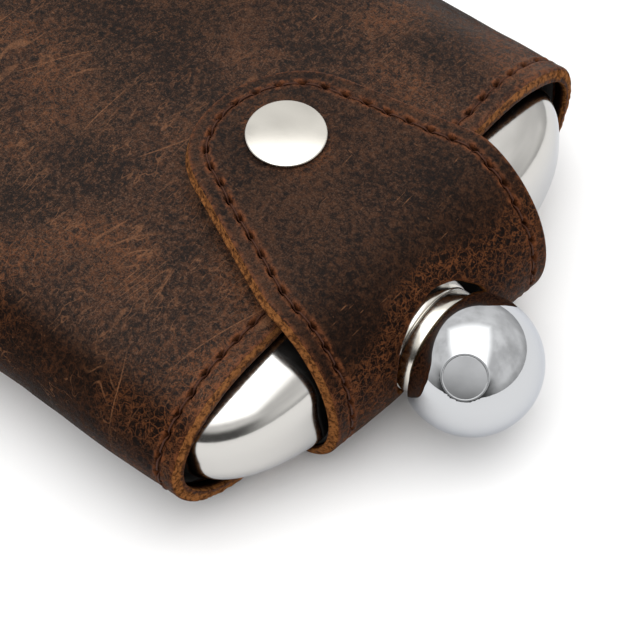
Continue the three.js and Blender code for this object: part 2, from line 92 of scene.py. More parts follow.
AXIS_Y, AXIS_Z = ((a + b) / 2 for a, b in list(zip(*corners("cap_insert")))[1:])
FLASK_LOW, FLASK_HIGH = corners("flask_shell")
FLASK_TOP = FLASK_HIGH[0] - MOUTH_X
FLASK_LENGTH = FLASK_HIGH[0] - FLASK_LOW[0]
FLASK_HALF_WIDTH = (FLASK_HIGH[1] - FLASK_LOW[1]) / 2
FLASK_HALF_DEPTH = (FLASK_HIGH[2] - FLASK_LOW[2]) / 2
BODY_Y = (FLASK_HIGH[1] + FLASK_LOW[1]) / 2
FRONT_ROUNDNESS = 3.4    # powers of the section's front and back curves: 2 is an ellipse
BACK_ROUNDNESS = 2.6
FLASK_WALL = 0.8
SHOULDER_LENGTH = 16.0
SHOULDER_TOP_HALF = 23.0
SHOULDER_TOP_DEPTH = 6.8
SHOULDER_CROWN = 14.5    # how far the shoulder's front and back curves reach down
SHOULDER_POWER = 2.2
FOOT_RADIUS = 5.0

# Places along the neck, and the spout's radii.
COLLAR_END = 15.7
SEAT_START, SEAT_END = 15.95, 16.42
SPOUT_END = 22.2
SPOUT_RADIUS = 5.9
SPOUT_BORE = 4.7
SEAL_START, SEAL_END = 22.45, 23.3
INSERT_END = 24.6

BALL_RADIUS = 11.7
BALL_X = corners("cap_ball")[1][0] - MOUTH_X - BALL_RADIUS
BALL_BASE = BALL_X - 4.35
CAP_BORE = 8.2           # radius and depth of the ball's hollow
DISC_FACE = 11.05        # from the ball's middle
FACET_AXIS = Vector((0.374, -0.619, 0.691)).normalized()

HINGE = next(joint for joint in frame["joints"] if joint["name"] == "flap_lift")
FLAP_TURN = math.atan2(HINGE["axis"][0], HINGE["axis"][1])
FLAP_PIVOT_X = 16.0      # the strap is turned about this place on the neck
FLAP_HALF = 23.5
FOLD_REACH = 15.6
FOLD_RISE = 18.5
FLAP_TILT = 0.055
FLAP_DROOP = 2.1         # how far the tip has bent down, TIP_RADIUS past where its bend starts
TONGUE_X = 0.85          # where the tongue starts, just behind the top of the fold
HINGE_X = 1.0
NECK_HOLE_RADIUS = 11.6
NECK_HOLE_NARROWING = 0.91
NECK_HOLE_RISE = 0.7      # the hole is torn a little towards the front
TIP_X = -20.0
TIP_RADIUS = 16.0
SNAP_X = -20.9
SNAP_SIDE = 0.85
SNAP_FLAT = (TONGUE_X - SNAP_X, SNAP_SIDE)   # the press stud's place on the flap laid flat
SNAP_RADIUS = 6.35
SNAP_RIM = 0.3


# ---- meshes ----
def added(name, data):
    made = bpy.data.objects.new(name, data)
    bpy.context.scene.collection.objects.link(made)
    return made


def piece(name, points, faces, material, sharp=None, **attributes):
    """A closed mesh from points in millimetres, with float attributes for its material."""
    points = np.asarray(points, float)
    mesh = bpy.data.meshes.new(name)
    mesh.from_pydata(((points + [MOUTH_X, 0, 0]) * 0.001).tolist(), [], faces)
    solid = bmesh.new()
    solid.from_mesh(mesh)
    bmesh.ops.recalc_face_normals(solid, faces=solid.faces)
    solid.to_mesh(mesh)
    solid.free()
    mesh.shade_smooth()
    if sharp is not None:
        mesh.set_sharp_from_angle(angle=math.radians(sharp))
    grain = mesh.attributes.new("grain", "FLOAT_VECTOR", "POINT")
    grain.data.foreach_set("vector", points.astype(np.float32).ravel())
    for key, values in attributes.items():
        layer = mesh.attributes.new(key, "FLOAT", "POINT")
        layer.data.foreach_set("value", np.full(len(points), values, np.float32))
    mesh.materials.append(material)
    return added(name, mesh)


def ring_faces(rings, count, along=False, ends=False):
    """Quads between rings of count points each, closed along or with flat ends if asked."""
    faces = []
    for i in range(rings if along else rings - 1):
        near, far = i * count, (i + 1) % rings * count
        for j in range(count):
            k = (j + 1) % count
            faces.append((near + j, far + j, far + k, near + k))
    if ends:
        last = (rings - 1) * count
        faces += [tuple(range(count)), tuple(reversed(range(last, last + count)))]
    return faces


def full_turn(count):
    return np.linspace(0, 2 * np.pi, count, endpoint=False)


def unit(vectors):
    return vectors / np.maximum(np.linalg.norm(vectors, axis=1), 1e-9)[:, None]


def closed_up(path):
    return np.vstack([path, path[:1]])


def step_lengths(path):
    return np.linalg.norm(np.diff(path, axis=0), axis=1)


def path_length(path, closed=False):
    return step_lengths(closed_up(path) if closed else path).sum()


def lengths_along(path):
    """How far along a path each of its points is."""
    return np.concatenate([[0], np.cumsum(step_lengths(path))])


def looked_up(at, places, rows):
    """Rows of numbers known at some places, interpolated at others."""
    return np.stack([np.interp(at, places, column) for column in rows.T], 1)


def spaced(path, count, closed=False):
    """count points evenly spaced along a path."""
    path = closed_up(path) if closed else np.asarray(path)
    length = lengths_along(path)
    return looked_up(np.linspace(0, length[-1], count + closed)[:count], length, path)


def right_of(path):
    """Unit vectors square to a flat path, to the right of its direction."""
    slope = unit(np.gradient(path, axis=0))
    return np.stack([slope[:, 1], -slope[:, 0]], 1)


def smoothed(values, width):
    """A running average over width values, tapered at its ends."""
    window = np.hanning(width)
    return np.convolve(values, window / window.sum(), "valid")


def rounded(outline, radius, closed=False, steps=4):
    """The same outline with its corners rounded off."""
    outline = [np.array(point, float) for point in outline]
    made = []
    for i, corner in enumerate(outline):
        if not closed and i in (0, len(outline) - 1):
            made.append(corner)
            continue
        sides = [outline[i - 1] - corner, outline[(i + 1) % len(outline)] - corner]
        lengths = [np.linalg.norm(side) for side in sides]
        reach = min(radius, 0.45 * lengths[0], 0.45 * lengths[1])
        start, stop = (corner + side / length * reach for side, length in zip(sides, lengths))
        for t in np.linspace(0, 1, steps + 1):
            made.append((1 - t) ** 2 * start + 2 * t * (1 - t) * corner + t * t * stop)
    return made


def lathe(profile, segments, closed=False):
    """Points and faces of a profile of [radius, height] turned about Z."""
    points, faces, rings = [], [], []
    turn = full_turn(segments)
    for radius, height in profile:
        start = len(points)
        if radius < 1e-6:
            points.append([0, 0, height])
            rings.append([start] * segments)
        else:
            points += [[radius * math.cos(a), radius * math.sin(a), height] for a in turn]
            rings.append(list(range(start, start + segments)))
    pairs = zip(rings, rings[1:] + rings[:1]) if closed else zip(rings, rings[1:])
    for near, far in pairs:
        for j in range(segments):
            k = (j + 1) % segments
            face = dict.fromkeys((near[j], far[j], far[k], near[k]))
            if len(face) > 2:
                faces.append(tuple(face))
    return np.array(points), faces


def turned(name, profile, material, place, corner=0.0, closed=False, segments=128, sharp=38):
    """A piece turned from a profile of [radius, height] with rounded corners, put in its place."""
    profile = rounded(profile, corner, closed=closed) if corner else profile
    points, faces = lathe(profile, segments, closed=closed)
    return piece(name, place(points), faces, material, sharp=sharp)


def along_neck(points):
    """Turns points made about Z so that they lie along the flask's neck."""
    x, y, z = np.asarray(points).T
    return np.stack([z, AXIS_Y + x, AXIS_Z + y], 1)


def lumps(points, size, seed):
    """A smooth random field from -1 to 1, with features about size across."""
    cells, far_cell = 32, 1000        # the lattice repeats, so places may start at any cell
    lattice = np.random.default_rng(seed).uniform(-1, 1, (cells, cells, cells))
    place = np.asarray(points, float) / size + far_cell
    cell = np.floor(place).astype(int)
    part = place - cell
    part = part * part * (3 - 2 * part)
    total = np.zeros(len(place))
    for corner in itertools.product((0, 1), repeat=3):
        weight = np.prod(np.where(corner, part, 1 - part), axis=1)
        total += weight * lattice[tuple(((cell + corner) % cells).T)]
    return total


def ease(low, high, value):
    """0 below low, 1 above high, and smooth between."""
    t = np.clip((np.asarray(value, float) - low) / (high - low), 0, 1)
    return t * t * (3 - 2 * t)


# ---- materials ----
# Every piece carries its own place in millimetres as the attribute grain, so the scales of the
# noises are per millimetre.
# DARK_LEATHER is the wax's own near black, and also the colour of the painted shade.
DARK_LEATHER = (0.0055, 0.0030, 0.0022)
BROWN_LEATHER = (0.044, 0.0190, 0.0095)
# Pale grey of the flecks, which also stands in for painted sheen where the leather faces the light.
FLECK_AND_SHEEN_LEATHER = (0.098, 0.054, 0.034)
RUST_LEATHER = (0.200, 0.068, 0.024)
WORN_LEATHER = (0.170, 0.056, 0.022)
MARKED_LEATHER = (0.200, 0.088, 0.041)
RAW_LEATHER = (0.050, 0.018, 0.006), (0.255, 0.100, 0.030)
# Near black painted into stitch holes and onto hidden inner faces as shade.
PAINTED_SHADE_LEATHER = (0.003, 0.0015, 0.001)

# Long cuts in the leather: each line's angle from +X, and where it crosses y = 0.
LONG_CUTS = ((78, 3.0), (66, -31.0), (97, -48.0), (84, -76.0), (58, -60.0), (104, -22.0))


def arithmetic(operation, swapped=False):
    """An operator of Value, worked out by a node."""
    def work_out(self, other=0.0):
        return self.nodes.math(operation, other, self) if swapped else (
            self.nodes.math(operation, self, other))
    return work_out


class Value:
    """A number or a vector that nodes work out. It takes ordinary arithmetic."""

    def __init__(self, nodes, socket):
        self.nodes, self.socket = nodes, socket

    __add__, __sub__, __mul__, __truediv__, __abs__ = (
        arithmetic(operation) for operation in ("ADD", "SUBTRACT", "MULTIPLY", "DIVIDE", "ABSOLUTE"))
    __rsub__ = arithmetic("SUBTRACT", swapped=True)


class Nodes:
    """A node tree, with one short method for each kind of node that is used."""

    def __init__(self, tree):
        self.tree = tree

    def add(self, kind, inputs=None, **settings):
        node = self.tree.nodes.new(kind)
        for key, value in settings.items():
            setattr(node, key, value)
        for key, value in (inputs or {}).items():
            self.put(node.inputs[key], value)
        return node

    def put(self, socket, value):
        if isinstance(value, Value):
            self.tree.links.new(value.socket, socket)
        elif socket.type == "RGBA" and len(value) == 3:
            socket.default_value = (*value, 1)
        else:
            socket.default_value = value

    def result(self, output, kind, inputs=None, **settings):
        return Value(self, self.add(kind, inputs, **settings).outputs[output])

    def place(self, kind):
        return self.result(kind, "ShaderNodeTexCoord")

    def attribute(self, name, output="Fac"):
        return self.result(output, "ShaderNodeAttribute", attribute_name=name)

    def noise(self, vector, scale, detail=2.0, roughness=0.5, output="Fac"):
        inputs = {"Vector": vector, "Scale": scale, "Detail": detail, "Roughness": roughness}
        return self.result(output, "ShaderNodeTexNoise", inputs)

    def cell_edges(self, vector, scale):
        return self.result("Distance", "ShaderNodeTexVoronoi", {"Vector": vector, "Scale": scale},
                           feature="DISTANCE_TO_EDGE")

    def math(self, operation, a, b=0.0):
        vector = any(isinstance(v, Value) and v.socket.type in ("VECTOR", "RGBA") for v in (a, b))
        kind = "ShaderNodeVectorMath" if vector else "ShaderNodeMath"
        return self.result(0, kind, {0: a, 1: b}, operation=operation)

    def dot(self, a, b):
        return self.result("Value", "ShaderNodeVectorMath", {0: a, 1: b}, operation="DOT_PRODUCT")

    def largest(self, *values):
        found = values[0]
        for value in values[1:]:
            found = self.math("MAXIMUM", found, value)
        return found

    def ramp(self, value, low, high, start=0.0, stop=1.0):
        """Goes smoothly from start to stop as value goes from low to high."""
        inputs = {"Value": value, "From Min": low, "From Max": high, "To Min": start, "To Max": stop}
        return self.result("Result", "ShaderNodeMapRange", inputs, interpolation_type="SMOOTHSTEP")

    def mix(self, share, a, b):
        return self.result(2, "ShaderNodeMix", {"Factor": share, 6: a, 7: b}, data_type="RGBA")

    def bump(self, height, distance):
        return self.result("Normal", "ShaderNodeBump", {"Height": height, "Distance": distance})


class Shader(Nodes):
    """A material with one principled surface."""

    def __init__(self, name):
        self.material = bpy.data.materials.new(name)
        self.material.use_nodes = True
        super().__init__(self.material.node_tree)
        self.tree.nodes.clear()
        self.surface = self.add("ShaderNodeBsdfPrincipled")
        output = self.add("ShaderNodeOutputMaterial")
        self.tree.links.new(self.surface.outputs[0], output.inputs["Surface"])

    def set(self, **inputs):
        for key, value in inputs.items():
            self.put(self.surface.inputs[key.replace("_", " ")], value)


def leather_marks(shader, grain, warp, patch, creased):
    """Pale lines: short scratches and scuffs, and long creases and cuts where it is creased."""
    noise, ramp = shader.noise, shader.ramp
    scratch = ramp(noise(grain * (2.4, 0.16, 2.4), 1.0, 3.0), 0.69, 0.76)
    scuff = ramp(noise((grain + (31.0, 7.0, 3.0)) * (0.3, 1.9, 1.9), 1.0, 3.0), 0.71, 0.78)
    swayed = grain + noise(grain, 0.04, 1.0, output="Color") * (7.0, 7.0, 7.0)
    drawn = swayed + warp * (0.3, 0.3, 0.3)
    hair = ramp(abs(noise(drawn * (1.0, 0.30, 1.0), 0.55, 1.0) - 0.5), 0.022, 0.006)
    hair = hair * ramp(noise(grain, 0.16), 0.46, 0.62, 0.0, 0.7)
    ripple = shader.math("FRACT", noise(drawn * (0.13, 0.036, 0.13), 1.0, 1.0, 0.4) * 8.0)
    ripple = ramp(abs(ripple - 0.5), 0.10, 0.02) * ramp(noise(grain, 0.06, 3.0), 0.52, 0.64, 0.0, 0.9)
    lengths = shader.largest(hair, ripple)
    for angle, crossing in LONG_CUTS:
        across = (math.sin(math.radians(angle)), -math.cos(math.radians(angle)), 0)
        cut = ramp(abs(shader.dot(swayed + (-crossing, 0, 0), across)), 0.16, 0.04)
        lengths = shader.largest(lengths, cut * ramp(patch, 0.42, 0.56))
    return shader.largest(scratch, scuff * 0.8, lengths * creased)


def leather_material():
    """Waxed leather: nearly black, rubbed through to brown and rust, with raw tan edges.

    Its attributes: wear and warm are how rubbed and how rusty it is, gloss how shiny it is and how lit
    from above, which paints its flecks paler (painted sheen) and, where low, paints it darker (painted
    shade); creased is how many long marks it has. edge is 1 on a cut edge, and the mask of painted shade
    is 1 in a stitch hole and on a hidden inner face, which are painted near black.
    """
    shader = Shader("distressed_leather")
    noise, ramp = shader.noise, shader.ramp
    grain = shader.attribute("grain", "Vector")
    wear, warm, edge, pit, gloss, creased = (
        shader.attribute(name) for name in ("wear", "warm", "edge", "pit", "gloss", "creased"))
    warp = noise(grain, 0.7, output="Color")
    bent = grain + warp * (1.6, 1.6, 1.6)
    patch = noise(grain, 0.055, 1.5)
    mottle = noise(bent, 1.0, 6.0, 0.78)
    speck = noise(grain, 3.4, 3.0, 0.65)
    fibre = noise(bent, 1.25, 5.0, 0.7)
    vein = ramp(abs(noise(bent, 0.62, 5.0, 0.62) - 0.5), 0.020, 0.003)
    crack = ramp(shader.cell_edges(bent, 0.55), 0.05, 0.0)

    # The wax's tone in broad patches, with pale flecks: real flecks, made more and paler where gloss is
    # high as painted sheen from the light above.
    broad = (patch - 0.50) * 0.30
    tone = mottle + broad
    colour = shader.mix(ramp(tone, 0.40, 0.64), DARK_LEATHER, BROWN_LEATHER)
    fleck_and_sheen = ramp(speck, 0.46, 0.66) * ramp(tone, 0.36, 0.56) * ramp(gloss, 0.0, 1.0, 0.25, 0.75)
    colour = shader.mix(fleck_and_sheen, colour, FLECK_AND_SHEEN_LEATHER)
    # Painted shade: where gloss is low, on the sides and wherever the light from above reaches less, the
    # colour goes towards near black.
    colour = shader.mix(ramp(gloss, 0.0, 0.95, 0.72, 0.0), colour, DARK_LEATHER)

    # Rust along the veins and cracks, rubbed places, and marks.
    heat = ramp(warm + broad * 5.0, 0.15, 1.0)
    net = shader.largest(ramp(mottle, 0.53, 0.62), vein * 0.8, crack)
    rubbed = net * ramp(heat, 0.0, 1.0, 0.05, 0.55)
    colour = shader.mix(rubbed, colour, RUST_LEATHER)
    colour = shader.mix(wear * ramp(mottle, 0.40, 0.60, 0.12, 1.0), colour, WORN_LEATHER)
    marks = leather_marks(shader, grain, warp, patch, creased)
    colour = shader.mix(marks * ramp(speck, 0.30, 0.55, 0.20, 0.60), colour, MARKED_LEATHER)

    # Raw fibres on the cut edges, and painted shade: near black in the stitch holes and on the hidden
    # inner faces.
    frayed = ramp(edge + (mottle - 0.5) * 0.9, 0.42, 0.62)
    colour = shader.mix(frayed, colour, shader.mix(ramp(fibre, 0.38, 0.60), *RAW_LEATHER))
    colour = shader.mix(pit, colour, PAINTED_SHADE_LEATHER)

    lines = shader.largest(vein, crack) * rubbed
    height = mottle + speck * 0.5 - lines * 0.6 + fibre * frayed * 1.6
    # No shine where holes and inner faces are painted as shade.
    shader.set(Base_Color=colour, Normal=shader.bump(height, 0.00012),
               Roughness=ramp(mottle, 0.35, 0.65, 0.40, 0.62) + frayed * 0.35,
               Specular_IOR_Level=ramp(gloss, 0.0, 1.0, 0.02, 0.11) * (1.0 - pit))
    return shader.material


def plain_material(name, scale, detail, roughness, colours, relief, gloss, **surface):
    """A dull material whose colour, gloss and relief all follow one noise."""
    shader = Shader(name)
    fibre = shader.noise(shader.attribute("grain", "Vector"), scale, detail, roughness)
    shader.set(Base_Color=shader.mix(fibre, *colours), Normal=shader.bump(fibre, relief),
               Roughness=shader.ramp(fibre, 0.3, 0.7, *gloss), **surface)
    return shader.material


def metal_material(name, colour, roughness, waviness, haze=0.03):
    """Polished metal: faint polishing waves, and a haze of fine wear in its gloss."""
    shader = Shader(name)
    grain = shader.attribute("grain", "Vector")
    wave = shader.noise(grain, 0.45)
    smear = shader.noise(grain * (0.4, 2.0, 2.0), 0.8, 4.0, 0.7)
    shader.set(Base_Color=colour, Metallic=1.0, Specular_Tint=(0.78, 0.80, 0.84))
    shader.set(Roughness=shader.ramp(smear, 0.35, 0.8, roughness, roughness + haze))
    shader.set(Normal=shader.bump(wave, waviness * 0.001))
    return shader.material


LEATHER_LOOK = leather_material()
LINING_LOOK = plain_material(
    "black_lining", 2.4, 4.0, 0.7, ((0.004, 0.004, 0.004), (0.019, 0.017, 0.016)),
    0.0001, (0.9, 0.9), Specular_IOR_Level=0.25)
THREAD_LOOK = plain_material(
    "waxed_thread", 3.5, 3.0, 0.6, ((0.016, 0.006, 0.004), (0.085, 0.028, 0.013)),
    0.00008, (0.62, 0.62), Specular_IOR_Level=0.2)
RUBBER_LOOK = plain_material(
    "seal_rubber", 1.5, 3.0, 0.6, ((0.012, 0.012, 0.013), (0.03, 0.03, 0.032)), 0.00005, (0.55, 0.8))
STEEL_LOOK = metal_material("polished_steel", (0.53, 0.518, 0.495), 0.13, 0.010, 0.06)
SATIN_LOOK = metal_material("satin_steel", (0.62, 0.59, 0.53), 0.17, 0.006, 0.08)
CHROME_LOOK = metal_material("chrome_plate", (0.50, 0.51, 0.525), 0.02, 0.005)
NICKEL_LOOK = metal_material("nickel_plate", (0.62, 0.595, 0.545), 0.12, 0.004, 0.08)
GILT_LOOK = metal_material("gilt_brass", (0.52, 0.40, 0.25), 0.18, 0.004, 0.1)


# ---- stitching ----
def stitch_shifts(count, seed, closed=False):
    """How far each hole strays from its line."""
    most = 0.14
    shifts = np.random.default_rng(seed).uniform(-most, most, count + 1)
    if closed:
        shifts[-1] = shifts[0]
    return shifts


def stitch_relief(along, across, shifts):
    """How sunk the leather is near a line of stitches, how worn, and how much of a hole, to be painted
    dark as shade.
    """
    place = along / STITCH_PITCH
    nearest = np.clip(np.round(place), 0, len(shifts) - 1).astype(int)
    gap = (place - nearest) * STITCH_PITCH
    side = across - shifts[nearest]
    groove_depth, hole_depth, lip_height, dip_depth = 0.24, 1.15, 0.19, 0.16
    near_hole = np.exp(-(gap / 1.1) ** 2)
    relief = groove_depth * np.exp(-(side / 0.3) ** 2)
    relief += hole_depth * np.exp(-(gap / 0.72) ** 4 - (side / 0.46) ** 4)
    relief -= lip_height * np.exp(-((np.abs(side) - 0.72) / 0.3) ** 2) * (0.25 + 0.75 * near_hole)
    relief += dip_depth * np.exp(-(side / 1.7) ** 2)
    wear = np.exp(-((np.abs(side) - 0.55) / 0.4) ** 2) * (0.35 + 0.65 * near_hole)
    pit = np.exp(-(gap / 0.74) ** 4 - (side / 0.47) ** 4)
    return relief, wear, pit


def stitches(name, place, count, shifts):
    """Separate stitches, each from one hole to the next. place gives points on the leather."""
    sides, steps, depth_in_hole, lift = 8, 14, 1.0, 0.83
    t = np.linspace(0, 1, steps)
    rise = ease(0, 0.27, t) * ease(1, 0.73, t)      # 0 down in a hole, 1 on the leather
    points, faces = [], []
    turn = full_turn(sides)
    for i in range(count):
        along = (i + t) * STITCH_PITCH
        across = shifts[i] * (1 - t) + shifts[i + 1] * t
        depth = depth_in_hole - lift * rise
        centre = place(along, across, depth)
        outward = unit(place(along, across, depth - 0.2) - centre)
        forward = np.gradient(centre, axis=0)
        sideways = unit(np.cross(outward, forward))
        upward = unit(np.cross(forward, sideways))
        radius = THREAD_RADIUS * (0.72 + 0.28 * rise)
        start = len(points)
        for c, u, s, r in zip(centre, upward, sideways, radius):
            points += [c + r * (u * math.cos(a) + s * math.sin(a)) for a in turn]
        faces += [tuple(start + v for v in face) for face in ring_faces(steps, sides, ends=True)]
    return piece(name, points, faces, THREAD_LOOK)


# ---- sleeve ----
def sleeve_outline():
    """The sleeve's section as dense [y, z] points, from the middle of its back round to it."""
    turn = np.linspace(0, np.pi / 2, 240)
    front = np.stack([FRONT_FLAT + (HALF_WIDTH - FRONT_FLAT) * np.sin(turn),
                      SIDE_HEIGHT + (HEIGHT - SIDE_HEIGHT) * np.cos(turn)], 1)
    back = np.stack([BACK_FLAT + (HALF_WIDTH - BACK_FLAT) * np.cos(turn),
                     SIDE_HEIGHT * (1 - np.sin(turn))], 1)
    left = np.concatenate([[[0.0, 0.0]], back[::-1], front[::-1][1:], [[0.0, HEIGHT]]])
    left = left * [-1, 1]
    right = left[::-1][1:-1] * [-1, 1]
    return np.concatenate([left, right])


OUTLINE = sleeve_outline()
PERIMETER = path_length(OUTLINE, closed=True)
SLEEVE_STITCHES = int(round(PERIMETER / STITCH_PITCH))
SLEEVE_PITCH = PERIMETER / SLEEVE_STITCHES


def sleeve_section(count):
    """Evenly spaced section points, from the back's middle, with their outward normals."""
    section = spaced(OUTLINE, count, closed=True)
    tangent = unit(np.roll(section, -1, 0) - np.roll(section, 1, 0))
    return section, np.stack([-tangent[:, 1], tangent[:, 0]], 1)


def sleeve_line(x):
    """A place() for stitches that run round the sleeve at x."""
    dense = 1464
    section, normal = sleeve_section(dense)
    at = np.linspace(0, PERIMETER, len(section) + 1)
    table = closed_up(np.concatenate([section, normal], 1))

    def place(along, across, depth):
        along = along * SLEEVE_PITCH / STITCH_PITCH
        y, z, ny, nz = looked_up(along % PERIMETER, at, table).T
        return np.stack([x + across, y - depth * ny, z - depth * nz], 1)

    return place


MOUTH_LINE = -STITCH_INSET
BASE_LINE = (BASE_LOW + BASE_HIGH) / 2
MOUTH_SHIFTS = stitch_shifts(SLEEVE_STITCHES, 11, closed=True)
BASE_SHIFTS = stitch_shifts(SLEEVE_STITCHES, 12, closed=True)


def edge_profile(thickness, outer=0.5, inner=0.3, rows=4):
    """Half of a cut edge: [setback, depth] from the outer face over its rounding to the inner."""
    turn = np.linspace(0, np.pi / 2, 6)
    top = [[outer * (1 - math.sin(a)), outer * (1 - math.cos(a))] for a in turn]
    wall = [[0, d] for d in np.linspace(outer, thickness - inner, rows + 2)[1:-1]]
    low = [[inner * (1 - math.cos(a)), thickness - inner + inner * math.sin(a)] for a in turn]
    return np.array(top + wall + low)


def graded(start, stop, first, last):
    """Stations from start to stop whose spacing grows from first to last."""
    made, step = [start], first
    while made[-1] + step < stop:
        made.append(made[-1] + step)
        step = min(step * 1.12, last)
    return np.array(made + [stop])


def sleeve_profile():
    """The wrap's section along the sleeve, as [x, depth]: outside, mouth, inside and base edge."""
    length = -SLEEVE_END
    near = np.arange(0.5, 6.0, 0.2)
    middle = graded(6.0, length - 5.0, 0.4, 2.8)
    far = length - np.arange(5.0, 0.5, -0.28)
    outside = [[-x, 0] for x in np.concatenate([near[1:], middle, far[1:-1]])[::-1]]
    mouth = [[-setback, depth] for setback, depth in edge_profile(RIM_LEATHER)]
    inside = [[-x, RIM_LEATHER] for x in (1.0, 1.9)]
    inside += [[-x, LEATHER] for x in (2.4, 5, 12, 40, 80, length - 4)]
    base = [[setback - length, depth] for setback, depth in edge_profile(LEATHER)[::-1]]
    return np.array(outside + mouth + inside + base)


def sleeve_wrap():
    """The leather wrap: outer face, rough mouth edge, inner face and rough base edge."""
    length = -SLEEVE_END
    profile = sleeve_profile()
    count = 12 * SLEEVE_STITCHES
    section, normal = sleeve_section(count)
    x, depth = np.repeat(profile, count, axis=0).T
    y, z = np.tile(section, (len(profile), 1)).T
    ny, nz = np.tile(normal, (len(profile), 1)).T
    around = np.tile(np.arange(count) * PERIMETER / count, len(profile))

    rest = np.stack([x, y - depth * ny, z - depth * nz], 1)
    skin = ease(0.9, 0.2, depth)
    wear, pit = np.zeros(len(x)), np.zeros(len(x))
    for line, shifts in ((MOUTH_LINE, MOUTH_SHIFTS), (BASE_LINE, BASE_SHIFTS)):
        sunk, rubbed, hole_shade = stitch_relief(around * STITCH_PITCH / SLEEVE_PITCH, x - line, shifts)
        depth = depth + sunk * skin
        wear, pit = np.maximum(wear, rubbed), np.maximum(pit, hole_shade * skin)
    x = x + RIM_FLARE * np.clip(depth / RIM_LEATHER, 0, 1) * np.exp(-(x / 0.8) ** 2)

    # Dents in the skin, except where it lies on the table, and frayed and wavy ends.
    dents = 0.28 * lumps(rest, 17, 3) + 0.07 * lumps(rest, 5, 4)
    depth = depth + ease(0.0, 2.5, z) * dents * skin
    at_end = np.exp(-(np.abs(x) / 0.5) ** 2) + np.exp(-((x + length) / 0.5) ** 2)
    fray = 0.10 * lumps(rest, 0.7, 5) + 0.06 * lumps(rest, 0.35, 6)
    x = x + np.where(x > -length / 2, 1, -1) * at_end * fray
    x = x + 0.3 * lumps(rest, 14, 7) * ease(-2.0, 0.0, x)
    points = np.stack([x, y - depth * ny, z - depth * nz], 1)
    points[:, 2] = np.maximum(points[:, 2], 0)

    wear = np.maximum(wear, 0.6 * np.exp(-(np.abs(x) / 0.6) ** 2))
    warm = 0.35 + 0.25 * ease(-28, -50, y) + 0.2 * ease(30, 46, y) + 0.3 * lumps(rest, 24, 8)
    # gloss is how shiny the leather is and how lit from above: 1 where it faces up, less on the sides,
    # and less towards +Y and -X where the light falls off. Through it the shader paints sheen on the
    # flecks and shade on the sides.
    gloss = ease(0.72, 0.99, nz) * (1 - 0.38 * ease(-25, 30, y) * ease(-20, -55, x))
    # The inner side of the mouth's swollen edge is painted near black as shade.
    pit = np.maximum(pit, ease(1.75, 2.3, depth) * ease(0.3, -0.4, x))
    return piece("sleeve_leather", points, ring_faces(len(profile), count, along=True), LEATHER_LOOK,
                 wear=wear, warm=warm, edge=ease(0.2, 0.5, depth) * at_end, pit=pit, gloss=gloss,
                 creased=0.35 + 0.65 * ease(25, -15, y))


def sleeve_lining():
    start, stop = BASE_HIGH + FIT_GAP, -2.6
    inner, outer = LINING_DEPTH + LINING, LINING_DEPTH
    profile = [[start, outer]] + [[x, outer] for x in np.linspace(-80, -4, 8)]
    profile += [[stop - 0.1, outer], [stop, outer + 0.15], [stop, inner - 0.15], [stop - 0.1, inner]]
    profile += [[x, inner] for x in np.linspace(-4, -80, 8)] + [[start, inner]]
    count = 360
    section, normal = sleeve_section(count)
    points = np.concatenate([
        np.column_stack([np.full(count, x), section - depth * normal]) for x, depth in profile])
    ragged = ease(-3.6, -2.6, points[:, 0])
    points[:, 0] += ragged * 0.22 * lumps(points, 0.9, 21)
    return piece("sleeve_black_lining", points, ring_faces(len(profile), count, along=True), LINING_LOOK)


def sleeve_base():
    """Oval base plate, pushed out a little in the middle and rounded at its rim."""
    count = 300
    section, normal = sleeve_section(count)
    rim = section - (LEATHER + FIT_GAP) * normal
    middle = np.array([0, HEIGHT / 2])
    stations = [(share, BASE_HIGH) for share in (0.1, 0.5, 0.9, 1.0)]
    stations += [(share, BASE_LOW) for share in (
        1.0, 0.99, 0.97, 0.93, 0.86, 0.76, 0.62, 0.46, 0.3, 0.15, 0.05)]
    rings = []
    for share, x in stations:
        lip = 0.35 * (1 - ease(0.93, 1.0, share)) if x == BASE_LOW else 0
        rings.append(np.column_stack([np.full(count, x - lip), middle + (rim - middle) * share]))
    points = np.concatenate(rings)
    points[:, 0] -= np.where(points[:, 0] < BASE_LOW - 0.1, 0.12 * lumps(points, 9, 31), 0)
    near_rim = ease(0.90, 1.0, np.repeat([share for share, x in stations], count))
    # gloss 0.3 paints the base in part shade, with few pale flecks.
    return piece("base_leather", points, ring_faces(len(rings), count, ends=True), LEATHER_LOOK,
                 sharp=50, wear=0.5 * near_rim, warm=0.4, gloss=0.3)


# ---- flap ----
def flap_profile():
    """Side view of the flap's outer face: distance from the hinge, x, z and outward normal."""
    start = math.asin((HINGE_X + 0.15) / FOLD_REACH)
    turn = np.linspace(math.pi, start, 500)
    fold = np.stack([FOLD_REACH * np.sin(turn), FOLD_RISE * (1 + np.cos(turn))], 1)
    back = np.linspace(TONGUE_X, TIP_X - TIP_RADIUS - 1, 200)
    droop = FLAP_DROOP * (np.maximum(0, TIP_X + 2 - back) / TIP_RADIUS) ** 2
    tongue = np.stack([
        HINGE_X + (back - HINGE_X) * math.cos(FLAP_TILT),
        2 * FOLD_RISE - (back - HINGE_X) * math.sin(FLAP_TILT) - droop], 1)
    line = np.concatenate([[[-3.0, 0.0]], fold, tongue])
    along = lengths_along(line)
    along -= along[len(fold)]
    even = np.linspace(along[0], along[-1], 700)
    x, z = (np.interp(even, along, column) for column in line.T)
    margin = 10
    slope = [smoothed(np.pad(np.gradient(v, even), margin, "edge"), 2 * margin + 1) for v in (x, z)]
    size = np.hypot(*slope)
    return even, x, z, slope[1] / size, -slope[0] / size


PROFILE = flap_profile()
FOLD = PROFILE[0] <= 0


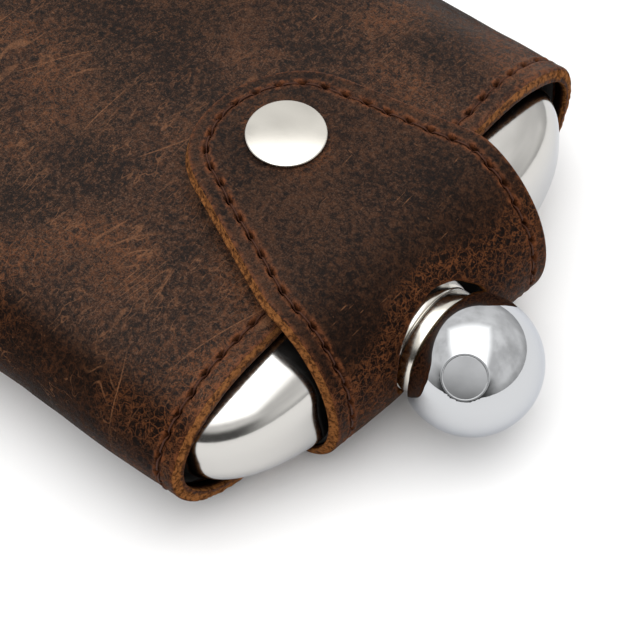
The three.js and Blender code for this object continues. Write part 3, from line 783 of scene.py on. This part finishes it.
def from_flap(points):
    """The flap's own frame, in which it runs straight along X, to the mouth's."""
    x, y, z = points.T
    x = x - FLAP_PIVOT_X
    c, s = math.cos(FLAP_TURN), math.sin(FLAP_TURN)
    return np.stack([FLAP_PIVOT_X + x * c + y * s, AXIS_Y - x * s + y * c, z], 1)


def on_flap(flat, depth):
    """Places flat points, [along, across], at a depth under the flap's outer face."""
    along, across = np.asarray(flat).T
    x, z, nx, nz = (np.interp(along, PROFILE[0], column) for column in PROFILE[1:])
    return from_flap(np.stack([x - depth * nx, across, z - depth * nz], 1))


def tail_start(across):
    """Where the strap meets the sleeve's mouth, as a distance along it."""
    trim = 0.05
    x = FLAP_PIVOT_X + (trim - FLAP_PIVOT_X - across * math.sin(FLAP_TURN)) / math.cos(FLAP_TURN)
    front = np.argmax(PROFILE[1])
    return np.interp(x, PROFILE[1][:front], PROFILE[0][:front])


def strap_outline():
    """The flap's edge laid flat, from its tail round the tip and back, as dense points."""
    overrun, spacing, softening = 8, 0.2, 47     # the last is a count of points
    half, start = FLAP_HALF, TONGUE_X - TIP_X
    reach = math.hypot(start, half)
    angle = math.atan2(half, start) + math.acos(TIP_RADIUS / reach)
    turn = np.linspace(angle, math.pi, 80)
    arc = np.stack([start - TIP_RADIUS * np.cos(turn), TIP_RADIUS * np.sin(turn)], 1)
    side = np.concatenate([[[tail_start(half) - overrun, half], [0, half]], arc])
    path = np.concatenate([side, side[::-1][1:] * [1, -1]])
    path = spaced(path, int(path_length(path) / spacing))
    soft = np.stack([smoothed(column, softening) for column in path.T], 1)
    return soft[soft[:, 0] > tail_start(soft[:, 1])]


EDGE = strap_outline()


def inset_path(distance, count=None):
    """The flap's edge moved in by a distance."""
    moved = EDGE + distance * right_of(EDGE)
    moved = moved[moved[:, 0] > tail_start(moved[:, 1])]
    for end in (0, -1):
        moved[end, 0] = tail_start(moved[end, 1])
    return spaced(moved, count or int(path_length(moved) / 0.33))


def ragged_edge(turn):
    """How far the torn edge of the neck hole strays from round."""
    return 0.12 * np.sin(5 * turn + 1) + 0.08 * np.sin(13 * turn)


def outside_hole(flat, margin):
    """Whether flat points lie outside the neck hole, grown by a margin."""
    rise = np.interp(flat[:, 0], PROFILE[0], PROFILE[2]) - AXIS_Z - NECK_HOLE_RISE
    side = flat[:, 1] / NECK_HOLE_NARROWING
    size = NECK_HOLE_RADIUS + margin + ragged_edge(np.arctan2(rise, side))
    return (np.hypot(rise, side) > size) | (flat[:, 0] > 0)


def neck_hole(margin=0.0):
    """Edge of the neck hole laid flat, grown by a margin."""
    turn = full_turn(220)
    ragged = NECK_HOLE_RADIUS + margin + ragged_edge(turn)
    z = AXIS_Z + NECK_HOLE_RISE + ragged * np.sin(turn)
    along = np.interp(z, PROFILE[2][FOLD], PROFILE[0][FOLD])
    return np.stack([along, NECK_HOLE_NARROWING * ragged * np.cos(turn)], 1)


def distance_to(points, path, closed=False):
    """Each point's distance to a path, and how far along the path its nearest place is."""
    path = closed_up(path) if closed else path
    steps, length = step_lengths(path), lengths_along(path)
    start, span = path[:-1], np.diff(path, axis=0)
    near, along = np.zeros(len(points)), np.zeros(len(points))
    batch = 2000
    for first in range(0, len(points), batch):
        some = points[first:first + batch]
        offset = some[:, None] - start[None]
        t = np.clip((offset * span).sum(2) / (steps ** 2), 0, 1)
        gap = np.linalg.norm(offset - t[..., None] * span, axis=2)
        best = gap.argmin(1)
        rows = np.arange(len(some))
        near[first:first + batch] = gap[rows, best]
        along[first:first + batch] = length[best] + t[rows, best] * steps[best]
    return near, along


def strap_mesh(insets, hole_insets, cell):
    """Flat triangles for one layer of the flap: rings along its edges, and a grid between."""
    outer = inset_path(insets[0])
    tail = np.linspace(outer[-1], outer[0], 60)[1:-1]
    tail[:, 0] = tail_start(tail[:, 1])
    border = np.concatenate([outer, tail])
    hole = neck_hole(hole_insets[0])
    rings = [inset_path(d, len(outer)) for d in insets[1:]]
    rings += [neck_hole(d) for d in hole_insets[1:]]
    along = np.arange(border[:, 0].min(), border[:, 0].max(), cell)
    across = np.arange(-FLAP_HALF, FLAP_HALF, cell)
    grid = np.stack(np.meshgrid(along, across), 2).reshape(-1, 2)
    grid[:, 1] += np.where(np.round(grid[:, 0] / cell) % 2 == 0, cell / 2, 0)
    half = len(outer) // 2
    limit = np.interp(grid[:, 0], outer[:half, 0], outer[:half, 1])
    inside = (np.abs(grid[:, 1]) < limit) & (grid[:, 0] > tail_start(grid[:, 1]) + 0.3)
    grid = grid[inside]
    clear = distance_to(grid, outer)[0] > insets[-1] - insets[0] + cell * 0.6
    clear &= distance_to(grid, hole, closed=True)[0] > hole_insets[-1] - hole_insets[0] + cell * 0.6
    clear &= outside_hole(grid, 0.0)
    points = np.concatenate([border, hole, *rings, grid[clear]])
    first = len(border)
    edges = [(i, (i + 1) % first) for i in range(first)]
    edges += [(first + i, first + (i + 1) % len(hole)) for i in range(len(hole))]
    made = delaunay_2d_cdt([Vector(p) for p in points], edges, [], 1, 1e-5, False)
    flat = np.array([tuple(v) for v in made[0]])
    triangles = np.array(made[2])
    return flat, triangles[outside_hole(flat[triangles].mean(1), hole_insets[0] - 0.02)]


def border_loops(triangles):
    """Loops of vertices along the open edges of a mesh, in its faces' own direction."""
    directed = {(int(a), int(b)) for t in triangles for a, b in zip(t, np.roll(t, -1))}
    following = {a: b for a, b in directed if (b, a) not in directed}
    loops = []
    while following:
        start, here = next(iter(following.items()))
        loop = [start]
        del following[start]
        while here != start:
            loop.append(here)
            here = following.pop(here)
        loops.append(loop)
    return loops


def rounding(distance, radius):
    """Depth of a rounded edge at a distance in from it."""
    short = np.clip(radius - distance, 0, radius)
    return radius - np.sqrt(radius ** 2 - short ** 2)


def flared(flat, gap, amount):
    """Flat points moved outward near the flap's edge."""
    near, along = distance_to(flat, EDGE)
    inward = looked_up(along, lengths_along(EDGE), right_of(EDGE))
    return flat - inward * (amount * ease(1.2, 0.0, near))[:, None]


def thick_layer(flat, triangles, top, bottom, sunk, edge_gap, radii, fray, seed, flare=0.0):
    """Closes two copies of a flat layer into a solid with frayed side walls.

    Returns its points and faces, and for each point the flat point it came from and how far
    it is on the cut edge, from 0 to 1.
    """
    upper = on_flap(flat, top + sunk + rounding(edge_gap, radii[0]))
    lower = on_flap(flared(flat, edge_gap, flare), bottom - rounding(edge_gap, radii[1]))
    count, rows = len(flat), 5
    points = [upper, lower]
    faces = [tuple(t) for t in triangles] + [tuple(t[::-1] + count) for t in triangles]
    source = [np.arange(count), np.arange(count)]
    edge = [ease(0.34, 0.0, edge_gap) * 0.8, ease(0.3, 0.0, edge_gap)]
    total = 2 * count
    for loop in border_loops(triangles):
        loop = np.array(loop)
        a, b = upper[loop], lower[loop]
        outward = unit(np.cross(np.roll(a, -1, 0) - np.roll(a, 1, 0), a - b))
        previous = loop
        for row in range(1, rows):
            t = row / rows
            place = a * (1 - t) + b * t
            swell = 0.10 * math.sin(math.pi * t) + fray * lumps(place, 0.55, seed)
            points.append(place + outward * swell[:, None])
            source.append(loop)
            edge.append(np.ones(len(loop)))
            current = np.arange(total, total + len(loop))
            total += len(loop)
            faces += wall_faces(previous, current)
            previous = current
        faces += wall_faces(previous, loop + count)
    return np.concatenate(points), faces, np.concatenate(source), np.concatenate(edge)


def wall_faces(upper, lower):
    following = np.roll(np.arange(len(upper)), -1)
    return [(int(upper[k]), int(upper[j]), int(lower[j]), int(lower[k]))
            for j, k in enumerate(following)]


def fold_stitch_path():
    """The flap's stitch line laid flat: down one edge from near the back, round and up."""
    path = inset_path(STITCH_INSET)
    last_turn = 2.8
    low = np.interp(FOLD_RISE * (1 + math.cos(last_turn)), PROFILE[2][FOLD], PROFILE[0][FOLD])
    path = path[path[:, 0] > low]
    return spaced(path, int(path_length(path) / 0.12))


FLAP_LINE = fold_stitch_path()
FLAP_STITCHES = int(path_length(FLAP_LINE) / STITCH_PITCH)
FLAP_SHIFTS = stitch_shifts(FLAP_STITCHES, 13)


def flap_place(along, across, depth):
    """A place() for the stitches round the flap."""
    at = np.linspace(0, path_length(FLAP_LINE), len(FLAP_LINE))
    side = looked_up(along, at, right_of(FLAP_LINE))
    return on_flap(looked_up(along, at, FLAP_LINE) + across[:, None] * side, depth)


def flap_leather():
    insets = [0, 0.07, 0.16, 0.28, 0.45, 0.7, 1.0, 1.35, 1.65, 1.9, 2.15, 2.4, 2.6, 2.8, 2.95,
              3.1, 3.25, 3.4, 3.6, 3.8, 4.05, 4.3, 4.6, 5.0, 5.5]
    flat, triangles = strap_mesh(insets, [0, 0.07, 0.16, 0.28, 0.45, 0.7, 1.1, 1.6], 0.62)
    from_edge = distance_to(flat, EDGE)[0]
    from_hole = distance_to(flat, neck_hole(), closed=True)[0]
    gap = np.minimum(from_edge, from_hole)
    near, along = distance_to(flat, FLAP_LINE)
    side = np.where(from_edge > STITCH_INSET, 1, -1) * near
    sunk, rubbed, hole_shade = stitch_relief(along, side, FLAP_SHIFTS)
    ended = (along < 0.05) | (along > FLAP_STITCHES * STITCH_PITCH + 0.4)
    sunk, hole_shade = np.where(ended, 0, sunk), np.where(ended, 0, hole_shade)
    snap = np.hypot(*(flat - SNAP_FLAT).T)
    solid = np.column_stack([flat, np.zeros(len(flat))])
    sunk = sunk + 0.22 * np.exp(-((snap - 5.5) / 1.8) ** 2)
    sunk = sunk + (0.18 * lumps(solid, 13, 41) + 0.06 * lumps(solid, 4, 42)) * ease(0, 3, gap)
    points, faces, source, edge = thick_layer(
        flat, triangles, 0, LEATHER, sunk, gap, (0.45, 0.2), 0.11, 43, FLAP_FLARE)
    order = np.arange(len(source))
    underside = (order >= len(flat)) & (order < 2 * len(flat))
    # The flap leather's underside, away from its edges, is painted near black as shade, as are its
    # stitch holes.
    pit = np.where(underside, ease(0.2, 0.8, gap[source]), hole_shade[source] * (order < len(flat)))
    wear = np.maximum(np.where(ended, 0, rubbed), 0.75 * np.exp(-(gap / 0.55) ** 2))
    front = ease(-6, -26, flat[:, 0]) * ease(-52, -36, flat[:, 0])
    ring = np.exp(-(snap - 7.5) ** 2 / 2)
    warm = 0.12 + 0.95 * front + 0.5 * np.exp(-(from_hole / 6) ** 2) + 0.25 * ring
    warm = warm + 0.3 * lumps(solid, 16, 44)
    # A low gloss paints the tongue darker than the fold, with fewer pale flecks and less sheen.
    gloss = 0.64 * ease(-22, 4, flat[:, 0])
    return piece("flap_leather", points, faces, LEATHER_LOOK,
                 wear=wear[source], warm=warm[source], edge=edge, pit=pit, gloss=gloss[source])


def flap_lining():
    flat, triangles = strap_mesh([0.35, 0.5, 0.8, 1.4], [0.3, 0.5, 0.9], 1.3)
    gap = distance_to(flat, inset_path(0.35))[0]
    points, faces = thick_layer(
        flat, triangles, LINING_DEPTH, LINING_DEPTH + LINING, 0, gap, (0.1, 0.1), 0.05, 47)[:2]
    return piece("flap_black_lining", points, faces, LINING_LOOK)


def blended(made):
    """Bakes a layer of the flap's place into its mesh. The points before and past the top of the fold
    are worked out but not used.
    """
    before_top, past_top = (7.0, 0, 35.0), (-8.0, 0, 37.4)
    start, stop = (list((p + [MOUTH_X, 0, 0]) / 1000)
                   for p in from_flap(np.array([before_top, past_top])))
    span = (stop[2] - start[2] + start[0] - stop[0]) / 2
    stop = [start[0] - span, start[1], start[2] + span]
    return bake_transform(made)


# ---- press stud ----
def on_tongue(points):
    """Points made about Z, moved to the press stud's place on the tongue."""
    seat = on_flap([SNAP_FLAT], 0.0)[0]
    tilt = Matrix.Rotation(-FLAP_TURN, 3, "Z") @ Matrix.Rotation(FLAP_TILT + 0.02, 3, "Y")
    return np.asarray(points) @ np.array(tilt).T + seat


def snap_cap():
    dome = [[SNAP_RADIUS * t, 1.32 - 0.52 * t ** 2.2] for t in np.linspace(0, 1, 14)]
    edge = [[SNAP_RADIUS + SNAP_RIM * math.sin(a), 0.5 + SNAP_RIM * math.cos(a)]
            for a in np.linspace(0.3, 2.6, 9)]
    profile = dome + edge + [[6.2, 0.18], [1.35, 0.16], [1.35, -2.3], [0, -2.3]]
    return turned("snap_dome", profile, NICKEL_LOOK, on_tongue, segments=160, sharp=40)


def snap_socket():
    """Spring socket under the flap: a flared ring with a rolled lip."""
    return turned("snap_spring_socket", [
        [2.7, -4.1], [4.4, -4.1], [4.9, -3.5], [5.2, -3.3], [5.2, -2.95], [2.9, -2.95]],
        NICKEL_LOOK, on_tongue, 0.2, closed=True, segments=96, sharp=40)


def snap_stud():
    low, high = corners("snap_stud")
    middle = (low + high) / 2
    seat = np.array([middle[0] - MOUTH_X, middle[1], low[2]])
    return turned("snap_stud_head", [
        [0, 0.05], [4.6, 0.05], [4.6, 0.3], [2.6, 0.45], [1.6, 0.55], [1.6, 0.85], [2.1, 1.15],
        [2.1, 1.55], [1.6, 1.9], [0, 1.95]],
        NICKEL_LOOK, lambda points: points + seat, 0.15, segments=96, sharp=40)


# ---- flask ----
def flask_size(x):
    """Half width and half depth of the flask where its outer face is at x."""
    along = max(0, (x - FLASK_TOP + SHOULDER_LENGTH) / SHOULDER_LENGTH)
    crown = max(0, (x - FLASK_TOP + SHOULDER_CROWN) / SHOULDER_CROWN)
    foot = max(0, (FLASK_TOP - FLASK_LENGTH + FOOT_RADIUS - x) / FOOT_RADIUS)
    tuck = 0.45 * FOOT_RADIUS * (1 - math.sqrt(max(0, 1 - foot * foot)))
    wide, deep = (max(0, 1 - t ** SHOULDER_POWER) ** (1 / SHOULDER_POWER) for t in (along, crown))
    return (SHOULDER_TOP_HALF + (FLASK_HALF_WIDTH - SHOULDER_TOP_HALF) * wide - tuck,
            SHOULDER_TOP_DEPTH + (FLASK_HALF_DEPTH - SHOULDER_TOP_DEPTH) * deep - tuck)


def oval(x, half_width, half_depth, squareness=1.0, middle=BODY_Y, count=240):
    """One ring of a section across the flask, from round to the body's own shape."""
    turn = full_turn(count)
    side, rise = np.cos(turn), np.sin(turn)
    roundness = np.where(rise > 0, FRONT_ROUNDNESS, BACK_ROUNDNESS)
    power = 2 / (2 + (roundness - 2) * squareness)
    y = half_width * np.sign(side) * np.abs(side) ** power
    z = half_depth * np.sign(rise) * np.abs(rise) ** power
    return np.column_stack([np.full(count, x), y + middle, z + AXIS_Z])


def flask_shell():
    bottom = FLASK_TOP - FLASK_LENGTH
    foot = bottom + FOOT_RADIUS * (1 - np.cos(np.linspace(0, np.pi / 2, 7)))
    body = np.linspace(bottom + FOOT_RADIUS, FLASK_TOP - SHOULDER_LENGTH, 7)[1:-1]
    shoulder = FLASK_TOP - SHOULDER_LENGTH * (1 - np.sin(np.linspace(0, np.pi / 2, 48)))
    stations = np.concatenate([foot, body, shoulder])
    rings = [oval(x, *flask_size(x)) for x in stations]
    rings.append(oval(FLASK_TOP, 6.2, 6.2, 0, AXIS_Y))
    rings.append(oval(FLASK_TOP - FLASK_WALL, 6.2, 6.2, 0, AXIS_Y))
    for x in stations[::-3]:
        width, depth = flask_size(x)
        rings.append(oval(min(x, FLASK_TOP - FLASK_WALL), width - FLASK_WALL, depth - FLASK_WALL))
    count = len(rings[0])
    faces = ring_faces(len(rings), count, along=True)
    return piece("bottle_shell", np.concatenate(rings), faces, STEEL_LOOK, sharp=35)


def neck_flange():
    """Stepped collar: flange, groove, ridge and band."""
    top, end, bore = FLASK_TOP + 0.05, COLLAR_END, 6.2
    return turned("neck_flange", [
        [bore, top], [9.5, top], [9.95, top + 0.8], [9.95, top + 1.8], [9.7, top + 2.9],
        [9.45, top + 3.45], [9.2, top + 3.6], [9.2, top + 3.8], [9.45, top + 4.0],
        [9.35, end - 0.8], [9.2, end - 0.15], [8.9, end], [bore, end]],
        SATIN_LOOK, along_neck, 0.35, closed=True, segments=144)


def threaded_spout():
    """Spout with its rolled helical thread, pressed out of the wall."""
    pitch, turns, crest_height = 1.5, 3, 0.48
    start, end = FLASK_TOP - 1.4, SPOUT_END
    first = end - 0.9 - turns * pitch
    around, steps = 96, 150
    turn = full_turn(around)

    def ring(radius, x):
        return np.stack([radius * np.cos(turn), radius * np.sin(turn), np.full(around, x)], 1)

    rings = []
    for x in np.linspace(start, end - 0.25, steps):
        phase = (x - first) / pitch - turn / (2 * np.pi)
        fade = ease(0, 0.25, phase) * ease(turns, turns - 0.25, phase)
        crest = crest_height * np.exp(-(((phase + 0.5) % 1 - 0.5) / 0.2) ** 2) * fade
        rings.append(ring(SPOUT_RADIUS + crest, x))
    rings += [ring(radius, x) for radius, x in (
        (SPOUT_RADIUS - 0.06, end - 0.1), (SPOUT_RADIUS - 0.3, end), (SPOUT_BORE + 0.15, end),
        (SPOUT_BORE, end - 0.2), (SPOUT_BORE, start))]
    faces = ring_faces(len(rings), around, along=True)
    return piece("threaded_spout", along_neck(np.concatenate(rings)), faces, STEEL_LOOK, sharp=40)


# ---- ball cap ----
def bored(solid, centre, axis, rim, depth):
    """Cuts a sphere flat across an axis and sinks a round pocket into the flat."""
    geometry = solid.verts[:] + solid.edges[:] + solid.faces[:]
    cut = bmesh.ops.bisect_plane(solid, geom=geometry, plane_co=centre, plane_no=axis, clear_outer=True)
    edges = [e for e in cut["geom_cut"] if isinstance(e, bmesh.types.BMEdge)]
    face = bmesh.ops.edgeloop_fill(solid, edges=edges)["faces"][0]
    face.normal_update()
    if face.normal.dot(axis) < 0:
        face.normal_flip()
    bmesh.ops.inset_region(solid, faces=[face], thickness=rim, use_even_offset=True)
    bmesh.ops.inset_region(solid, faces=[face], thickness=0.02, depth=0)
    sunk = bmesh.ops.extrude_face_region(solid, geom=[face])["geom"]
    bottom = [v for v in sunk if isinstance(v, bmesh.types.BMVert)]
    bmesh.ops.translate(solid, verts=bottom, vec=-axis * depth)
    bmesh.ops.delete(solid, geom=[face], context="FACES")


def cap_ball():
    solid = bmesh.new()
    bmesh.ops.create_uvsphere(solid, u_segments=192, v_segments=128, radius=BALL_RADIUS)
    bored(solid, FACET_AXIS * DISC_FACE, FACET_AXIS, 0.10, 0.5)
    base, drop = Vector((-1, 0, 0)), BALL_X - BALL_BASE
    base_radius = math.sqrt(BALL_RADIUS ** 2 - drop ** 2)
    bored(solid, base * drop, base, base_radius - CAP_BORE, CAP_BORE)
    points = np.array([v.co for v in solid.verts]) + [BALL_X, AXIS_Y, AXIS_Z]
    solid.verts.index_update()
    faces = [tuple(v.index for v in f.verts) for f in solid.faces]
    solid.free()
    return piece("ball_shell", points, faces, CHROME_LOOK, sharp=25)


def along_facet(points):
    """Turns points made about Z to the ball's flat facet."""
    turn = np.array(Vector((0, 0, 1)).rotation_difference(FACET_AXIS).to_matrix())
    return np.asarray(points) @ turn.T + [BALL_X, AXIS_Y, AXIS_Z]


def cap_disc():
    """Plain disc let into the facet, with one fine turned ring near its edge."""
    face, radius, ring = DISC_FACE, 3.7, 3.42
    dome = [[r, face + 0.10 * (1 - (r / radius) ** 2)] for r in np.linspace(0, ring, 12)]
    profile = dome + [
        [ring + 0.02, face], [ring + 0.05, face], [ring + 0.08, face + 0.01], [radius - 0.04, face],
        [radius, face - 0.04], [radius, face - 0.45], [0, face - 0.45]]
    return turned("ball_disc", profile, CHROME_LOOK, along_facet, segments=144, sharp=30)


def cap_insert():
    bore, radius, end = 6.7, 7.9, INSERT_END
    return turned("ball_insert", [
        [0, end - 0.9], [bore, end - 0.9], [bore, BALL_BASE + 0.1], [radius, BALL_BASE + 0.1],
        [radius, end - 0.6], [radius - 0.6, end], [0, end]], STEEL_LOOK, along_neck, 0.15)


def seat_ring():
    return turned("gilt_washer", [
        [6.75, SEAT_START], [9.5, SEAT_START], [9.62, 16.2], [9.5, SEAT_END], [6.75, SEAT_END]],
        GILT_LOOK, along_neck, 0.1, closed=True)


def seal():
    return turned("seal_washer", [
        [3.6, SEAL_START], [6.4, SEAL_START], [6.4, SEAL_END], [3.6, SEAL_END]],
        RUBBER_LOOK, along_neck, 0.2, closed=True)


# ---- assembly ----
def fit(made, body, slot, *nodes):
    """Rides a piece on its body, or else bakes its place in, and hides its CAD nodes. slot is not used.
    """
    if body:
        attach(made, body)
    else:
        blended(made)
    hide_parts(*nodes)


FIXED, FLAP, SEAL, CAP, BENT = "sleeve_and_flask", "flap", "seal", "cap", None
fit(sleeve_wrap(), FIXED, "leather", "sleeve_wrap")
fit(sleeve_lining(), FIXED, "lining", "sleeve_lining")
fit(sleeve_base(), FIXED, "leather", "sleeve_base")
for end, line, shifts in (("mouth", MOUTH_LINE, MOUTH_SHIFTS), ("base", BASE_LINE, BASE_SHIFTS)):
    fit(stitches(end + "_thread", sleeve_line(line), SLEEVE_STITCHES, shifts),
        FIXED, "thread", end + "_stitching")
fit(flap_leather(), BENT, "leather", "flap_fold", "flap_tongue")
fit(flap_lining(), BENT, "lining", "flap_fold_lining", "flap_tongue_lining")
fit(stitches("flap_thread", flap_place, FLAP_STITCHES, FLAP_SHIFTS),
    BENT, "thread", "fold_stitching_left", "fold_stitching_right", "tongue_stitching")
fit(snap_cap(), FLAP, "nickel", "snap_cap")
fit(snap_socket(), FLAP, "nickel", "snap_socket")
fit(snap_stud(), FIXED, "nickel", "snap_stud")
fit(flask_shell(), FIXED, "steel", "flask_shell")
fit(neck_flange(), FIXED, "steel", "neck_collar")
fit(threaded_spout(), FIXED, "steel", "neck_spout")
fit(cap_ball(), CAP, "chrome", "cap_ball")
fit(cap_disc(), CAP, "chrome", "cap_disc")
fit(cap_insert(), CAP, "steel", "cap_insert")
fit(seat_ring(), CAP, "gilt", "cap_seat_ring")
fit(seal(), SEAL, "rubber", "cap_seal")

for node, look in (("snap_post", NICKEL_LOOK), ("flask_base", STEEL_LOOK)):
    kept = frame["nodes"][node]
    kept.data.materials.clear()
    kept.data.materials.append(look)


# ---- stage, light and camera ----
def floor_material():
    shader = Shader("white_table")
    dust = shader.noise(shader.place("Object"), 40.0, 3.0)
    shader.set(Base_Color=shader.mix(dust, (0.88, 0.88, 0.885), (0.90, 0.90, 0.905)), Roughness=0.7)
    return shader.material


def make_floor():
    half = 2.5
    mesh = bpy.data.meshes.new("floor")
    mesh.from_pydata([(x * half, y * half, -0.0001) for x, y in ((-1, -1), (1, -1), (1, 1), (-1, 1))],
                     [], [(0, 1, 2, 3)])
    mesh.materials.append(floor_material())
    added("floor", mesh)


def make_world():
    """White studio: a big soft light overhead, paler walls, and a dark room before the object."""
    dark_side = (0.41, -0.91, 0)
    sides = ((0.766, 0.643, 0), -0.05, 0.53), ((-0.643, 0.766, 0), -0.20, 0.68)
    world = bpy.data.worlds.new("studio")
    bpy.context.scene.world = world
    world.use_nodes = True
    nodes = Nodes(world.node_tree)
    direction = nodes.place("Generated")
    rise = nodes.dot(direction, (0, 0, 1))
    room = nodes.noise(direction, 2.2, 4.0, 0.55)
    light = nodes.ramp(rise, 0.0, 0.25, 0.62, 0.86) + nodes.ramp(rise, 0.5, 0.75, 0.0, 0.15)
    light = light * nodes.ramp(room, 0.3, 0.7, 0.80, 1.20)

    level = nodes.math("SQRT", 1.0001 - rise * rise)
    facing = nodes.dot(direction, dark_side) / level + room * 0.5
    dark = nodes.ramp(facing, 0.75, 1.15) * nodes.ramp(rise, 0.58, 0.36)
    light = light * (1.0 - dark * 0.9)

    # The overhead light is an oblong with soft edges: an axis, its middle and its half width.
    high = nodes.largest(rise, 0.05)
    softbox = nodes.largest(*(
        abs(nodes.dot(direction, axis) / high - middle) / half for axis, middle, half in sides))
    softbox = nodes.ramp(softbox + room * 0.25, 1.50, 0.72) * nodes.ramp(rise, 0.1, 0.2)
    background = world.node_tree.nodes["Background"]
    nodes.put(background.inputs["Strength"], light + softbox * 2.1)
    nodes.put(background.inputs["Color"], (1, 0.995, 0.985))


def make_camera():
    azimuth, elevation, roll = (math.radians(a) for a in (44.59, 53.74, -5.52))
    distance = 0.42424
    focal_share = 3.90625            # focal length over the picture's width
    target = Vector(((MOUTH_X - 12.13) / 1000, -0.00315, 0))
    back = Vector((math.sin(azimuth) * math.cos(elevation), -math.cos(azimuth) * math.cos(elevation),
                   math.sin(elevation)))
    right = Vector((math.cos(azimuth), math.sin(azimuth), 0))
    up = back.cross(right)
    turned_right = math.cos(roll) * right + math.sin(roll) * up
    turned_up = math.cos(roll) * up - math.sin(roll) * right
    data = bpy.data.cameras.new("camera")
    data.lens = data.sensor_width * focal_share
    data.clip_start = 0.02
    place = Matrix((turned_right, turned_up, back)).transposed().to_4x4()
    place.translation = target + back * distance
    camera = added("camera", data)
    camera.matrix_world = place
    bpy.context.scene.camera = camera


make_floor()
make_world()
make_camera()
bpy.context.scene.view_settings.view_transform = "Standard"
